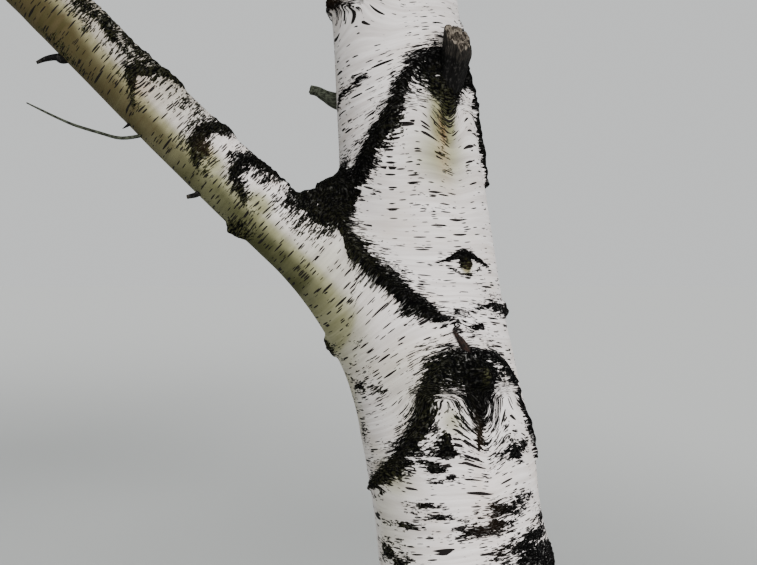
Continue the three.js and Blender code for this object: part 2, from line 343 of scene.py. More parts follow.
def tube_faces(rings, sides, first=0):
    """Quads between rings of points that follow each other."""
    ring, side = np.meshgrid(np.arange(rings - 1), np.arange(sides), indexing="ij")
    a = ring * sides + side
    b = ring * sides + (side + 1) % sides
    return np.stack([a, b, b + sides, a + sides], axis=-1).reshape(-1, 4) + first


def plain_mesh(piece):
    """Applies the piece's modifiers by taking the evaluated mesh."""
    graph = bpy.context.evaluated_depsgraph_get()
    mesh = bpy.data.meshes.new_from_object(piece.evaluated_get(graph))
    piece.modifiers.clear()
    piece.data = mesh
    return piece


# %% The fork's base mesh
FORK_VOXEL = 0.0032
TRUNK_TUBE_SIDES = 48
BOUGH_TUBE_SIDES = 32
TRUNK_OVERLAP = 0.05
BOUGH_OVERLAP = 0.08


def ring_tube(centres, firsts, seconds, radii, sides):
    """Vertices and faces of a tube of rings round centres, open at both ends."""
    angle = np.linspace(0, 2 * np.pi, sides, endpoint=False)
    circle = (firsts[:, None, :] * np.cos(angle)[None, :, None]
              + seconds[:, None, :] * np.sin(angle)[None, :, None])
    vertices = (centres[:, None, :] + circle * radii[:, None, None]).reshape(-1, 3)
    return vertices, tube_faces(len(centres), sides)


def trunk_tube():
    """The trunk at the fork."""
    heights = np.arange(FORK_LOW - TRUNK_OVERLAP, FORK_HIGH + TRUNK_OVERLAP, LIMB_STEP)
    centres = np.stack([*trunk_centre(heights), heights], axis=1)
    east = np.tile((1.0, 0, 0), (len(heights), 1))
    north = np.tile((0, 1.0, 0), (len(heights), 1))
    return ring_tube(centres, east, north, at_stations(HALF_WIDTH, heights), TRUNK_TUBE_SIDES)


def bough_tube():
    """The low bough at the fork."""
    reach = int((BOUGH_CUT + BOUGH_OVERLAP) / LIMB_STEP)
    along = np.gradient(low_points[:reach], axis=0)
    along /= np.linalg.norm(along, axis=1)[:, None]
    up = np.cross(low_side, along)
    widths = at_stations(LOW_BOUGH["width"], low_along[:reach])
    return ring_tube(low_points[:reach], up, np.cross(along, up), widths, BOUGH_TUBE_SIDES)


def add_tube(mesh, vertices, faces, sides):
    """Adds a tube to a mesh, with one face over each end."""
    made = [mesh.verts.new(v) for v in vertices]
    for face in faces:
        mesh.faces.new([made[i] for i in face])
    mesh.faces.new(list(reversed(made[:sides])))
    mesh.faces.new(made[-sides:])


def fork_tubes():
    """Overlapping closed tubes and the crotch's lump, which the voxel remesh joins."""
    mesh = bmesh.new()
    add_tube(mesh, *trunk_tube(), TRUNK_TUBE_SIDES)
    add_tube(mesh, *bough_tube(), BOUGH_TUBE_SIDES)
    for place in np.linspace(*LUMP_ENDS, 3):
        bmesh.ops.create_icosphere(mesh, subdivisions=3, radius=LUMP_SIZE, matrix=Matrix.Translation(place))
    data = bpy.data.meshes.new("fork")
    mesh.to_mesh(data)
    mesh.free()
    piece = bpy.data.objects.new("fork", data)
    bpy.context.scene.collection.objects.link(piece)
    remesh = piece.modifiers.new("even faces", "REMESH")
    remesh.mode = "VOXEL"
    remesh.voxel_size = FORK_VOXEL
    return plain_mesh(piece)


fork = fork_tubes()
fork_points = settle_on_skin(coordinates(fork.data))
print("fork base mesh:", len(fork.data.polygons), "faces")

# %% [markdown]
# Repeatable noise for arrays
#
# The relief moves hundreds of thousands of vertices, so its noise is worked out for whole arrays at once:
# a value for each corner of a lattice, from a hash of its whole numbers, blended smoothly between them.

# %% Noise
OCTAVE_SHIFT = 17.3
OCTAVE_SUM = 1.6


def lattice_value(cells, seed):
    """A value from 0 to 1 for each lattice corner."""
    mixed = (cells[..., 0] * 73856093) ^ (cells[..., 1] * 19349663) ^ (cells[..., 2] * 83492791)
    mixed = (mixed + seed * 2654435761) & 0xFFFFFFFF
    mixed = ((mixed ^ (mixed >> 16)) * 0x45D9F3B) & 0xFFFFFFFF
    mixed = ((mixed ^ (mixed >> 15)) * 0x2C1B3C6D) & 0xFFFFFFFF
    return ((mixed ^ (mixed >> 13)) & 0xFFFFFF) / 0xFFFFFF


def smooth_noise(places, seed=1):
    """Smooth noise from -1 to 1 at an array of places."""
    low = np.floor(places).astype(np.int64)
    share = places - low
    share = share * share * (3 - 2 * share)
    total = np.zeros(len(places))
    for corner in range(8):
        step = np.array([corner & 1, corner >> 1 & 1, corner >> 2 & 1])
        weight = np.where(step, share, 1 - share).prod(axis=1)
        total += weight * lattice_value(low + step, seed)
    return total * 2 - 1


def rough_noise(places, seed=1, octaves=3):
    """Several sizes of noise, each half as strong and twice as fine as the one before."""
    total = 0
    for octave in range(octaves):
        total = total + smooth_noise(places * 2**octave + OCTAVE_SHIFT * octave, seed + octave) / 2**octave
    return total / OCTAVE_SUM


def ramp(value, low, high):
    """0 below low, 1 above high and a smooth step between."""
    share = np.clip((value - low) / (high - low), 0, 1)
    return share * share * (3 - 2 * share)


# %% [markdown]
# The marks on the bark
#
# Where a limb leaves a birch's trunk, the bark is pushed up into a black ridge shaped like a moustache,
# which stays after the limb has died. The pale bark between its arms hangs in folds below the old knot.
# Each mark here is a curve or a spot of a real size. Its place on the trunk is the angle round it, 0 at the
# front and 90 at the right, and the height. On a bough it is the angle round it, 0 at the top, and the way
# along. A mark gives two things: how dark the bark is, and its relief.

# %% Curves and spots
FAR_OFF = 9.0
DARK_REACH = 0.035
DARK_DEPTH = 0.012
BEND_REACH = 0.07
FOLD_ROUND = 0.006
FOLD_WIDTH = 0.07


def curve_points(knots, count=22):
    """Points along a smooth curve through a few knots."""
    knots = np.array(knots, dtype=float)
    padded = np.vstack([2 * knots[0] - knots[1], knots, 2 * knots[-1] - knots[-2]])
    places = np.linspace(0, len(knots) - 1, count)
    whole = np.minimum(places.astype(int), len(knots) - 2)
    t = (places - whole)[:, None]
    a, b, c, d = (padded[whole + i] for i in range(4))
    return 0.5 * (2 * b + (c - a) * t + (2 * a - 5 * b + 4 * c - d) * t**2 + (3 * b - a - 3 * c + d) * t**3)


def off_curve(flat, knots, margin=0.15):
    """How far each flat place is from a curve, and how far along the curve its nearest point is."""
    points = curve_points(knots)
    best = np.full(len(flat), FAR_OFF)
    along = np.zeros(len(flat))
    near = ((flat > points.min(axis=0) - margin) & (flat < points.max(axis=0) + margin)).all(axis=1)
    places = flat[near]
    near_best = np.full(len(places), FAR_OFF)
    near_along = np.zeros(len(places))
    for i, (a, b) in enumerate(zip(points[:-1], points[1:])):
        stride = b - a
        offset = places - a
        share = np.clip(offset @ stride / (stride @ stride), 0, 1)
        off = np.linalg.norm(offset - share[:, None] * stride, axis=1)
        closer = off < near_best
        near_best[closer] = off[closer]
        near_along[closer] = ((i + share) / (len(points) - 1))[closer]
    best[near], along[near] = near_best, near_along
    return best, along


class Skin:
    """A limb's bark: each vertex's angle round the limb and place along it, and what its marks add up to."""

    def __init__(self, angle, along, half_width, mask=None):
        self.angle, self.along, self.half_width = angle, along, half_width
        self.mask = np.ones(len(angle)) if mask is None else mask
        self.inside = np.full(len(angle), -DARK_REACH)
        self.relief = np.zeros(len(angle))
        self.bend = np.zeros(len(angle))

    def flat(self, angle, along):
        """Places unrolled round one place on the limb, in metres: the way round and the way along."""
        turned = (self.angle - angle + 180) % 360 - 180
        return np.stack([np.radians(turned) * self.half_width, self.along - along], axis=1)

    def darken(self, inside):
        """Makes the bark as dark as a mark does that each vertex is so far inside of."""
        self.inside = np.maximum(self.inside, np.where(self.mask > 0.5, inside, -DARK_REACH))

    def ridge(self, knots, half_widths, height, lift=0.0, crisp=1.0):
        """A black ridge along a curve. Outside it the rows of pores tilt up towards it."""
        middle_angle, middle_along = knots[len(knots) // 2]
        half_width = float(np.interp(middle_along, *self.width_stations))
        flat = self.flat(middle_angle, middle_along)
        flat[:, 0] *= half_width / self.half_width
        unrolled = [(math.radians(a - middle_angle) * half_width, z - middle_along) for a, z in knots]
        off, share = off_curve(flat, unrolled)
        half = np.interp(share, np.linspace(0, 1, len(half_widths)), half_widths)
        self.darken((half - off) * crisp)
        raised = self.mask * height * ramp((half - off) / half, -0.3, 0.7)
        self.relief = np.maximum(self.relief, raised)
        self.bend = np.maximum(self.bend, self.mask * lift * np.exp(-off / BEND_REACH))

    def spot(self, angle, along, size, height=0.0, crisp=1.0):
        """A black oval spot with its relief. A crisp one has a sharper edge, and 0 leaves it undarkened."""
        off = np.linalg.norm(self.flat(angle, along) / size, axis=1)
        if crisp:
            self.darken((1 - off) * min(size) * crisp)
        self.relief += self.mask * height * ramp(1 - off, -0.3, 0.8)

    def haze(self, angle, along, size, level):
        """An area where the bark is only flecked with black, more so towards its middle."""
        off = np.linalg.norm(self.flat(angle, along) / size, axis=1)
        share = ramp(1.4 - off, 0, 0.9)
        self.darken(-DARK_REACH + (level + DARK_REACH) * share)

    def collar(self, angle, along, reach, pull):
        """Below an old knot the rows of pores hang in folds."""
        flat = self.flat(angle, along)
        fade = np.exp(-np.maximum(-flat[:, 1], 0) / reach) * ramp(-flat[:, 1], -0.01, 0.02)
        fade *= np.exp(-((flat[:, 0] / FOLD_WIDTH) ** 2))
        self.bend += self.mask * fade * pull * (np.sqrt(flat[:, 0] ** 2 + FOLD_ROUND**2) - FOLD_ROUND)


# %% The fork's skins
FORK_HEADING = -78
BOUGH_GROWTH = 1.30


def mirrored(angle):
    """The angle on the other side of the low bough."""
    return 2 * FORK_HEADING - angle


_, to_trunk, to_bough = fork_distance(fork_points)
bough_along, _, above, across = on_low_bough(fork_points)
trunk_x, trunk_y = trunk_centre(fork_points[:, 2])
offset_x, offset_y = fork_points[:, 0] - trunk_x, fork_points[:, 1] - trunk_y
Skin.width_stations = tuple(zip(*HALF_WIDTH))
on_trunk = Skin(
    np.degrees(np.arctan2(offset_x, -offset_y)), fork_points[:, 2],
    at_stations(HALF_WIDTH, fork_points[:, 2]), mask=ramp(to_bough - to_trunk, -0.02, 0.0))
on_bough = Skin(
    np.degrees(np.arctan2(-across, above)), bough_along,
    at_stations(LOW_BOUGH["width"], bough_along), mask=ramp(to_trunk - to_bough, -0.02, 0.0))
on_bough.width_stations = tuple(zip(*LOW_BOUGH["width"]))
print("bough's own skin:", int((on_bough.mask > 0.5).sum()), "vertices")

# %% The trunk's own marks
FORK_RIDGE = [(-88, 1.658), (-74, 1.625), (-65, 1.598), (-54, 1.571), (-40, 1.536), (-24, 1.501),
              (-10, 1.473), (-1, 1.455), (9, 1.445), (19, 1.440)]
FORK_RIDGE_WIDTHS = [.030, .032, .030, .020, .016, .017, .017, .016, .010, .004]
TRUNK_RIDGES = [
    (FORK_RIDGE, FORK_RIDGE_WIDTHS, 0.007, 1),
    ([(mirrored(a), z) for a, z in FORK_RIDGE], FORK_RIDGE_WIDTHS, 0.007, 1),
    ([(30, 1.866), (13, 1.850), (-1, 1.820), (-8, 1.788), (-16, 1.759), (-29, 1.728), (-38, 1.698),
      (-48, 1.668), (-62, 1.655), (-80, 1.655)],
     [.016, .013, .012, .013, .017, .017, .018, .020, .016, .014], 0.005, 1),
    ([(56, 1.868), (64, 1.845), (71, 1.815), (76, 1.780), (79, 1.745), (81, 1.700), (81, 1.663)],
     [.009, .009, .009, .009, .009, .010, .006], 0.009, 2),
    ([(24, 1.391), (16, 1.386), (8, 1.377), (0, 1.364), (-6, 1.346), (-11, 1.324), (-15, 1.299),
      (-20, 1.274), (-27, 1.250), (-34, 1.230), (-42, 1.209), (-53, 1.192), (-67, 1.175), (-87, 1.157)],
     [.008, .012, .016, .018, .017, .016, .016, .017, .017, .017, .017, .016, .011, .004], 0.005, 1),
    ([(27, 1.391), (35, 1.387), (43, 1.380), (52, 1.368), (59, 1.351), (64, 1.329), (67, 1.306),
      (69, 1.283), (71, 1.260), (73, 1.238), (74, 1.214)],
     [.008, .009, .011, .011, .010, .008, .008, .008, .0075, .007, .004], 0.006, 1.4),
    ([(26, 1.372), (25, 1.350), (23, 1.330), (21, 1.308), (19.5, 1.280), (18.5, 1.240)],
     [.030, .040, .034, .024, .012, .002], 0.0, 0.35),
    ([(24, 1.335), (22, 1.312), (20, 1.285), (18, 1.262), (17, 1.246), (16, 1.230)],
     [.016, .013, .0085, .0055, .0035, .0015], 0.0, 2),
    ([(20, 1.243), (27, 1.246), (33, 1.251), (40, 1.259)], [.0004, .0010, .0010, .0004], 0.0, 4),
    ([(11, 1.229), (24, 1.231), (37, 1.236), (50, 1.243)], [.0004, .0009, .0010, .0005], 0.001, 4),
    ([(-4, 1.322), (4, 1.303), (10, 1.281), (14, 1.262)], [.0003, .0008, .0009, .0004], 0.0, 4),
    ([(-1, 1.335), (6, 1.318), (12, 1.296), (16, 1.270)], [.0003, .0009, .0009, .0004], 0.0, 4),
    ([(42, 1.330), (35, 1.308), (28, 1.284), (22, 1.264)], [.0003, .0008, .0009, .0004], 0.0, 4),
    ([(38, 1.338), (32, 1.318), (26, 1.294), (21, 1.272)], [.0003, .0009, .0009, .0004], 0.0, 4),
    ([(4, 1.5285), (11, 1.532), (18, 1.536), (25, 1.541), (32, 1.545), (39, 1.541), (46, 1.534), (56, 1.525)],
     [.0009, .0020, .0033, .0052, .0074, .0054, .0034, .0014], 0.003, 6),
    ([(18, 1.524), (25, 1.516), (32, 1.511), (39, 1.515), (45, 1.521)],
     [.0003, .0007, .0010, .0007, .0003], 0.0015, 4),
    ([(14, 1.453), (24, 1.454), (33, 1.455), (40, 1.459), (47, 1.463), (57, 1.464), (66, 1.459), (80, 1.452),
      (95, 1.442)], [.001, .0018, .0012, .0035, .0055, .0065, .007, .010, .006], 0.002, 1.3),
    ([(-80, 1.785), (-72, 1.800), (-59, 1.809), (-46, 1.820), (-32, 1.827)],
     [.0015, .0035, .0048, .0040, .0018], 0.002, 2.4),
    ([(-118, 1.935), (-100, 1.952), (-80, 1.962), (-62, 1.955), (-47, 1.944), (-34, 1.938)],
     [.006, .010, .012, .010, .006, .003], 0.006, 1),
]
TRUNK_SPOTS = [
    (38, 1.830, (.036, .048), 0.004, 1), (35, 1.787, (.016, .030), 0.002, 1.3),
    (32, 1.531, (.0125, .0110), 0.004, 6), (84, 1.454, (.014, .015), 0.006, 1),
    (35, 1.430, (.017, .0044), 0.001, 4), (-88, 1.400, (.022, .024), 0.010, 1),
    (-75, 1.985, (.035, .030), 0.005, 1),
    (-3, 1.258, (.008, .012), 0.003, 2.4), (-4, 1.247, (.013, .011), 0.003, 2.4),
    (-4, 1.236, (.019, .008), 0.003, 2.4), (-12, 1.211, (.016, .008), 0.003, 2),
    (-20, 1.222, (.008, .004), 0.001, 2), (-3, 1.200, (.012, .003), 0.001, 2),
    (45, 1.230, (.015, .0095), 0.002, 1.4), (54, 1.240, (.012, .006), 0.001, 1.4),
    (-62, 1.333, (.014, .007), 0.001, 1.6), (-72, 1.255, (.009, .009), 0.001, 1),
    (-43, 1.330, (.009, .004), 0.001, 2), (29, 1.147, (.026, .0085), 0.003, 1.5),
    (21, 1.139, (.015, .006), 0.002, 1.5), (40, 1.156, (.018, .005), 0.002, 1.5),
    (10, 1.116, (.032, .0095), 0.003, 1.5), (22, 1.126, (.022, .008), 0.002, 1.5),
    (-3, 1.108, (.018, .004), 0.001, 2), (-60, 1.068, (.022, .0125), 0.002, 1),
    (-50, 1.055, (.024, .009), 0.002, 1), (-36, 1.047, (.018, .005), 0.001, 1.5),
    (-11, 1.135, (.017, .0034), 0, 3), (-44, 1.117, (.024, .0026), 0, 3), (-23, 1.154, (.019, .0034), 0, 3),
    (57, 1.098, (.040, .011), 0.003, 1.3), (42, 1.085, (.032, .009), 0.003, 1.3),
    (68, 1.120, (.020, .008), 0.003, 1.3),
    (22, 1.838, (.026, .018), 0.0, 1.6), (30, 1.815, (.026, .030), 0.0, 1.6),
    (58, 1.836, (.024, .024), 0.0, 1.6), (30, 1.780, (.0085, .022), 0.0, 2),
    (27, 1.752, (.0035, .018), 0.0, 1.6), (24, 1.712, (.0030, .006), 0.0, 2),
    # The knot's nose, second on the next line, is black round an olive middle: that black ring is painted
    # shade which outlines the bump.
    (24, 1.364, (.054, .022), 0.0, 0.8), (25, 1.352, (.030, .034), 0.0, 3),
    # The black spot on the next line, in the hollow under the nose, is painted shadow on black bark.
    (23, 1.326, (.023, .019), 0.0, 3),
]
TRUNK_HAZES = [
    (58, 1.045, (.105, .055), 0.009), (24, 1.052, (.050, .030), 0.001), (-62, 1.600, (.06, .05), -0.006),
    (6, 1.352, (.036, .022), 0.006), (43, 1.358, (.030, .022), 0.001), (38, 1.300, (.030, .030), -0.013),
    (4, 1.300, (.030, .030), -0.013), (20, 1.832, (.045, .034), 0.006), (10, 1.800, (.030, .030), -0.008),
]
TRUNK_COLLARS = [(33, 1.790, .075, 1.6), (22, 1.335, .060, 2.6), (-70, 1.960, .030, 1.6)]
HOODED_SCAR = [
    (24, 1.350, (.060, .070), 0.009), (25, 1.354, (.032, .038), -0.006), (25.5, 1.355, (.019, .025), 0.023),
    (23.2, 1.324, (.019, .014), -0.022), (19, 1.285, (.006, .045), -0.005),
]
OLD_LIMBS = 46
OLD_FLECKS = 80
SEEN_BELOW = 2.15
SEEN_ROUND = 110
FOOT_EDGE = 0.62
FOOT_EDGE_RISE = 0.37
FOOT_EDGE_SIDE = 62
FOOT_EDGE_WIDTH = 46
FOOT_EDGE_WANDER = 0.16
FOOT_FADE = 0.050
FOOT_FADE_ABOVE = 0.16
CRACK_SIZES = (26, 26, 7.5)
CRACK_THIN = 3.4
CRACK_DARK = 0.018
FOOT_DARK = 0.012
CRACK_DEPTH = 0.008


def chevron(angle, height, half_width, wide, drop, thick):
    """The knots and half widths of a black moustache with its peak at (angle, height)."""
    steps = (-1, -0.75, -0.45, -0.2, 0, 0.2, 0.45, 0.75, 1)
    knots = [(angle + math.degrees(wide * t / half_width), height - drop * abs(t) ** 1.25) for t in steps]
    return knots, [thick * v for v in (0.3, 0.7, 1, 0.95, 0.9, 0.95, 1, 0.7, 0.3)]


def is_seen(angle, height):
    """Whether a place is on the stretch that the picture shows, whose marks are told one by one."""
    return height < SEEN_BELOW and -SEEN_ROUND < angle < SEEN_ROUND


def mark_old_limbs(skin):
    """The scars of limbs that died long ago, anywhere the photographed side isn't."""
    chance = np.random.default_rng(5)
    for _ in range(OLD_LIMBS):
        height = chance.uniform(0.98, 12.5)
        angle = chance.uniform(-180, 180)
        size = chance.uniform(0.6, 1.3)
        if is_seen(angle, height):
            continue
        half_width = float(at_stations(HALF_WIDTH, height))
        wide = half_width * chance.uniform(0.35, 1.1) * size
        knots, widths = chevron(angle, height, half_width, wide, wide * 0.75, 0.11 * half_width * size)
        skin.ridge(knots, widths, 0.003 * size, lift=0.2 * wide)
        skin.spot(angle, height - 0.35 * wide, (0.16 * wide, 0.2 * wide), 0.002)
    for _ in range(OLD_FLECKS):
        height = chance.uniform(0.98, 13)
        angle = chance.uniform(-180, 180)
        if is_seen(angle, height):
            continue
        size = chance.uniform(0.006, 0.022) * 8 * float(at_stations(HALF_WIDTH, height))
        skin.spot(angle, height, (size, size * chance.uniform(0.3, 0.9)), 0.001)


def crack_foot(skin):
    """Towards the ground the bark is black and cracked, and its plates keep some white."""
    turned = (skin.angle - FOOT_EDGE_SIDE + 180) % 360 - 180
    around = np.radians(skin.angle)
    ways = (np.sin(around), np.cos(around))
    places = np.stack([skin.half_width * ways[0], skin.half_width * ways[1], skin.along], axis=1)
    edge = FOOT_EDGE + FOOT_EDGE_RISE * np.exp(-(turned / FOOT_EDGE_WIDTH) ** 2)
    edge += FOOT_EDGE_WANDER * rough_noise(places * (9, 9, 3), seed=21)
    below = edge - skin.along
    cracks = 1 - CRACK_THIN * np.abs(rough_noise(places * CRACK_SIZES, seed=31))
    level = np.clip(np.where(below > 0, FOOT_FADE, FOOT_FADE_ABOVE) * below, -DARK_REACH, FOOT_DARK)
    skin.darken(level + CRACK_DARK * np.clip(cracks, -1.6, 1))
    skin.relief -= CRACK_DEPTH * cracks * ramp(below, -0.15, 0.55)


def mark_hood(skin, bough):
    """The black hood over a bough, and the dark patch in the crotch above it."""
    half_width = float(at_stations(HALF_WIDTH, bough["height"]))
    angle, wide = bough["heading"] + 90, half_width * 1.35
    peak = bough["height"] + 1.6 * half_width
    knots, widths = chevron(angle, peak, half_width, wide, 3.2 * half_width, 0.2 * half_width)
    skin.ridge(knots, widths, 0.005, lift=0.03)
    skin.spot(angle, bough["height"] + 0.9 * half_width, (half_width * 0.7, half_width * 0.9), 0.004)


def mark_trunk(skin):
    """Every mark of the trunk, on whichever stretch of it this skin is."""
    for knots, widths, height, crisp in TRUNK_RIDGES:
        skin.ridge(knots, widths, height, lift=0.042 if crisp == 1 else 0.010, crisp=crisp)
    for spot in TRUNK_SPOTS:
        skin.spot(*spot)
    for haze in TRUNK_HAZES:
        skin.haze(*haze)
    for bough in upper_boughs:
        mark_hood(skin, bough)
    mark_old_limbs(skin)
    for collar in TRUNK_COLLARS:
        skin.collar(*collar)
    for spot in HOODED_SCAR:
        skin.spot(*spot, crisp=0)
    crack_foot(skin)


mark_trunk(on_trunk)

# %% The bough's marks at the fork
BOUGH_RIDGES = [
    ([(-10, .505), (12, .516), (35, .528), (55, .537), (78, .540), (96, .535), (108, .520), (119, .503)],
     [.010, .013, .014, .014, .013, .010, .008, .003], 0.004, 1.2),
    ([(-10, .375), (8, .392), (20, .425), (38, .450), (56, .465), (80, .460), (96, .445), (106, .420),
      (114, .402)], [.012, .015, .015, .014, .012, .012, .008, .005, .002], 0.004, 1.2),
    ([(5, .622), (20, .640), (40, .652), (62, .662), (82, .680), (94, .668), (112, .652), (124, .640)],
     [.014, .015, .013, .011, .014, .009, .006, .002], 0.005, 1.3),
    ([(40, .765), (54, .757), (62, .735), (64, .715)], [.010, .011, .009, .004], 0.002, 1.2),
    ([(-30, .470), (-60, .475), (-95, .455), (-120, .430)], [.012, .012, .009, .005], 0.003, 1),
    ([(-20, .760), (-50, .780), (-85, .775), (-115, .750)], [.010, .012, .009, .004], 0.003, 1),
]
BOUGH_SPOTS = [(95, .520, (.012, .012), 0.002, 1), (160, .395, (.026, .022), 0.010, 1.5),
               (178, .405, (.016, .012), 0.006, 1.5)]
BOUGH_HAZES = [
    (25, .345, (.060, .065), 0.004), (45, .325, (.050, .050), 0.000), (14, .445, (.040, .050), 0.004),
    (45, .425, (.030, .024), -0.004), (62, .470, (.025, .030), -0.003), (20, .560, (.045, .060), -0.006),
    (60, .555, (.030, .030), -0.001), (30, .530, (.035, .030), 0.003), (40, .600, (.040, .040), -0.012),
    (20, .700, (.038, .060), 0.005), (44, .695, (.032, .036), 0.003), (30, .790, (.045, .080), 0.003),
    # The last haze on the next line, below the bough at the thorn's base, darkens it with black flecks,
    # partly as painted shade.
    (58, .765, (.030, .036), -0.002), (30, .585, (.045, .045), -0.004), (150, .770, (.020, .050), -0.006),
    (-45, .33, (.07, .10), -0.004), (-30, .60, (.05, .10), -0.010),
    (-20, .95, (.06, .10), -0.002), (10, .92, (.05, .07), -0.003),
]


def mark_bough_ridges(skin):
    """The low bough's black moustaches."""
    for knots, widths, height, crisp in BOUGH_RIDGES:
        skin.ridge(knots, widths, height, lift=0.010, crisp=crisp)


mark_bough_ridges(on_bough)
for spot in BOUGH_SPOTS:
    on_bough.spot(*spot)
for haze in BOUGH_HAZES:
    on_bough.haze(*haze)

# %% Dark bark in the crotch
CROTCH = (-0.365, -0.035, 1.640)
CROTCH_BLACK = 0.064
CROTCH_REACH = 0.07
CROTCH_RELIEF = 0.004
from_crotch = np.linalg.norm(fork_points - CROTCH, axis=1)
fork_inside = np.maximum.reduce([on_trunk.inside, on_bough.inside, CROTCH_BLACK - from_crotch])
fork_relief = np.maximum(on_trunk.relief, on_bough.relief)
fork_relief = fork_relief + CROTCH_RELIEF * ramp(CROTCH_REACH - from_crotch, 0, 0.05)

# %% [markdown]
# The grain, the stains and painted shade
#
# A birch's pores lie across the limb that they are on, so the bark needs to know which way each limb grows.
# Each vertex gets a place in the grain's own space: two ways across the limb and one along it. At the fork
# the trunk's grain turns into the bough's. Algae make the underside of the bough green, and painted shade
# darkens that underside further, most towards the bough's outer end. Water that drips from old knots
# leaves green and rusty runs. The stains and the painted shade are soft, with a place, told like the marks.

# %% How the fork's bark grows
SHARE_BEGINS = -0.16
SHARE_FULL = 0.04
SHARE_ROUND = (35, 92)
ridge_height = np.interp(on_trunk.angle, *zip(*FORK_RIDGE))
beyond_ridge = (to_trunk < to_bough) & (fork_points[:, 2] > ridge_height)
from_bough = np.abs((on_trunk.angle - FORK_HEADING + 180) % 360 - 180)
bough_share = ramp(to_trunk - to_bough, SHARE_BEGINS, SHARE_FULL) * (1 - ramp(from_bough, *SHARE_ROUND))
bough_share = np.where(to_bough < to_trunk, 1.0, bough_share)
bough_share[beyond_ridge] = 0
growth = (1 - bough_share) * (fork_points[:, 2] + trunk_tilt(fork_points[:, 2], offset_x) - on_trunk.bend)
growth += bough_share * (bough_along + BOUGH_GROWTH - on_bough.bend)
fork_grain = np.stack([
    (1 - bough_share) * offset_x + bough_share * above,
    (1 - bough_share) * offset_y + bough_share * across,
    growth,
], axis=1)
print("growth runs from", round(growth.min(), 2), "to", round(growth.max(), 2))

# %% The fork's stains and painted shade
TRUNK_GREENS = [
    (-84, 1.40, (.07, .20), 0.46), (-62, 1.52, (.07, .09), 0.38), (-45, 1.19, (.05, .04), 0.45),
    (27, 1.750, (.028, .055), 0.95), (23, 1.700, (.055, .055), 0.60), (-55, 1.12, (.07, .16), 0.30),
    (-25, 1.34, (.08, .10), 0.28), (2, 1.285, (.022, .030), 0.45), (20, 1.72, (.085, .085), 0.22),
    # The last blot on the next line turns the nose's middle olive: partly moss, partly painted highlight on
    # the bump.
    (32, 1.524, (.009, .010), 1.0), (27, 1.353, (.011, .015), 0.65),
]
BOUGH_GREENS = [(100, .500, (.022, .035), 0.7), (96, .400, (.022, .030), 0.7)]
TRUNK_RUSTS = [
    (32, 1.524, (.007, .007), 0.5), (18, 1.262, (.007, .028), 0.45), (14, 1.180, (.010, .060), 0.35),
    (26, 1.735, (.007, .030), 0.8), (24, 1.700, (.012, .050), 0.45), (16, 1.140, (.030, .070), 0.30),
    (-66, 1.970, (.030, .018), 0.8),
]
BOUGH_RUSTS = [(90, .520, (.014, .016), 0.5), (88, .650, (.014, .016), 0.5)]


def blot(skin, angle, along, size, level=1.0):
    """A soft stain, as strong as its level in its middle."""
    return level * np.exp(-np.linalg.norm(skin.flat(angle, along) / size, axis=1) ** 2)


def blots(skin, places):
    """Several stains, the strongest one at each place."""
    return np.maximum.reduce([blot(skin, *place) for place in places])


def bough_moss_and_shade(skin):
    """The green of a bough, partly moss, partly painted shade: strong below it, more so further out, faint
    all over.
    """
    further = ramp(skin.along, 0.55, 0.9)
    below = ramp(np.abs((skin.angle + 180) % 360 - 180), 74 - 36 * further, 130 - 16 * further)
    level = 0.62 + 0.26 * ramp(skin.along, 0.15, 0.28) + 0.12 * further
    return np.maximum(level * below, 0.32 * ramp(skin.along, 0.45, 0.62))


def bough_brown(skin):
    """How far a bough's bark is still the brown of a young one."""
    return np.maximum(0.20 * ramp(skin.along, 0.45, 0.65), ramp(0.019 - skin.half_width, 0, 0.014))


def folds_fine(angle):
    """Finer pores on a fold beside the hooded scar, at an angle round the trunk."""
    return blot(on_trunk, angle, 1.300, (.036, .040), 0.7)


# Below the low bough, and on the trunk where it joins, this green is partly moss and partly painted shade.
fork_moss_and_shade = bough_moss_and_shade(on_bough) * np.maximum(bough_share**2, on_bough.mask)
fork_moss_and_shade = np.maximum.reduce([fork_moss_and_shade, blots(on_trunk, TRUNK_GREENS), blots(on_bough, BOUGH_GREENS)])
fork_rust = np.maximum(blots(on_trunk, TRUNK_RUSTS), blots(on_bough, BOUGH_RUSTS))
fork_brown = bough_brown(on_bough) * on_bough.mask
fork_fine = 0.15 + 0.6 * bough_share + folds_fine(0) + folds_fine(38)
fork_fine = fork_fine - 0.2 * ramp(1.25 - fork_points[:, 2], 0, 0.08)
print("stains: green to", round(fork_moss_and_shade.max(), 2), "and rust to", round(fork_rust.max(), 2))

# %% Relief and attributes
CRUMB_HEIGHT = 0.0026
CRUMBS_IN_GRAIN = (110, 110, 170)
LUMP_SCALE = 0.42
LUMP_SHARE = 1.5
SWELL_HEIGHT = 0.0016
SWELLS_IN_METRE = 14


def darkness(inside):
    """0.5 at a mark's edge, 1 well inside it and 0 well outside."""
    return 0.5 + 0.5 * np.clip(np.where(inside > 0, inside / DARK_DEPTH, inside / DARK_REACH), -1, 1)


def bark_relief(points, grain, inside, relief):
    """The whole relief: the marks, crumbling bark where it is black, and a faint swell everywhere."""
    fine = grain * CRUMBS_IN_GRAIN
    crumbs = rough_noise(fine, seed=3) + LUMP_SHARE * rough_noise(fine * LUMP_SCALE, seed=4)
    crumbs = crumbs * ramp(darkness(inside), 0.42, 0.62)
    swell = rough_noise(points * SWELLS_IN_METRE, seed=9, octaves=2)
    return relief + crumbs * CRUMB_HEIGHT + swell * SWELL_HEIGHT


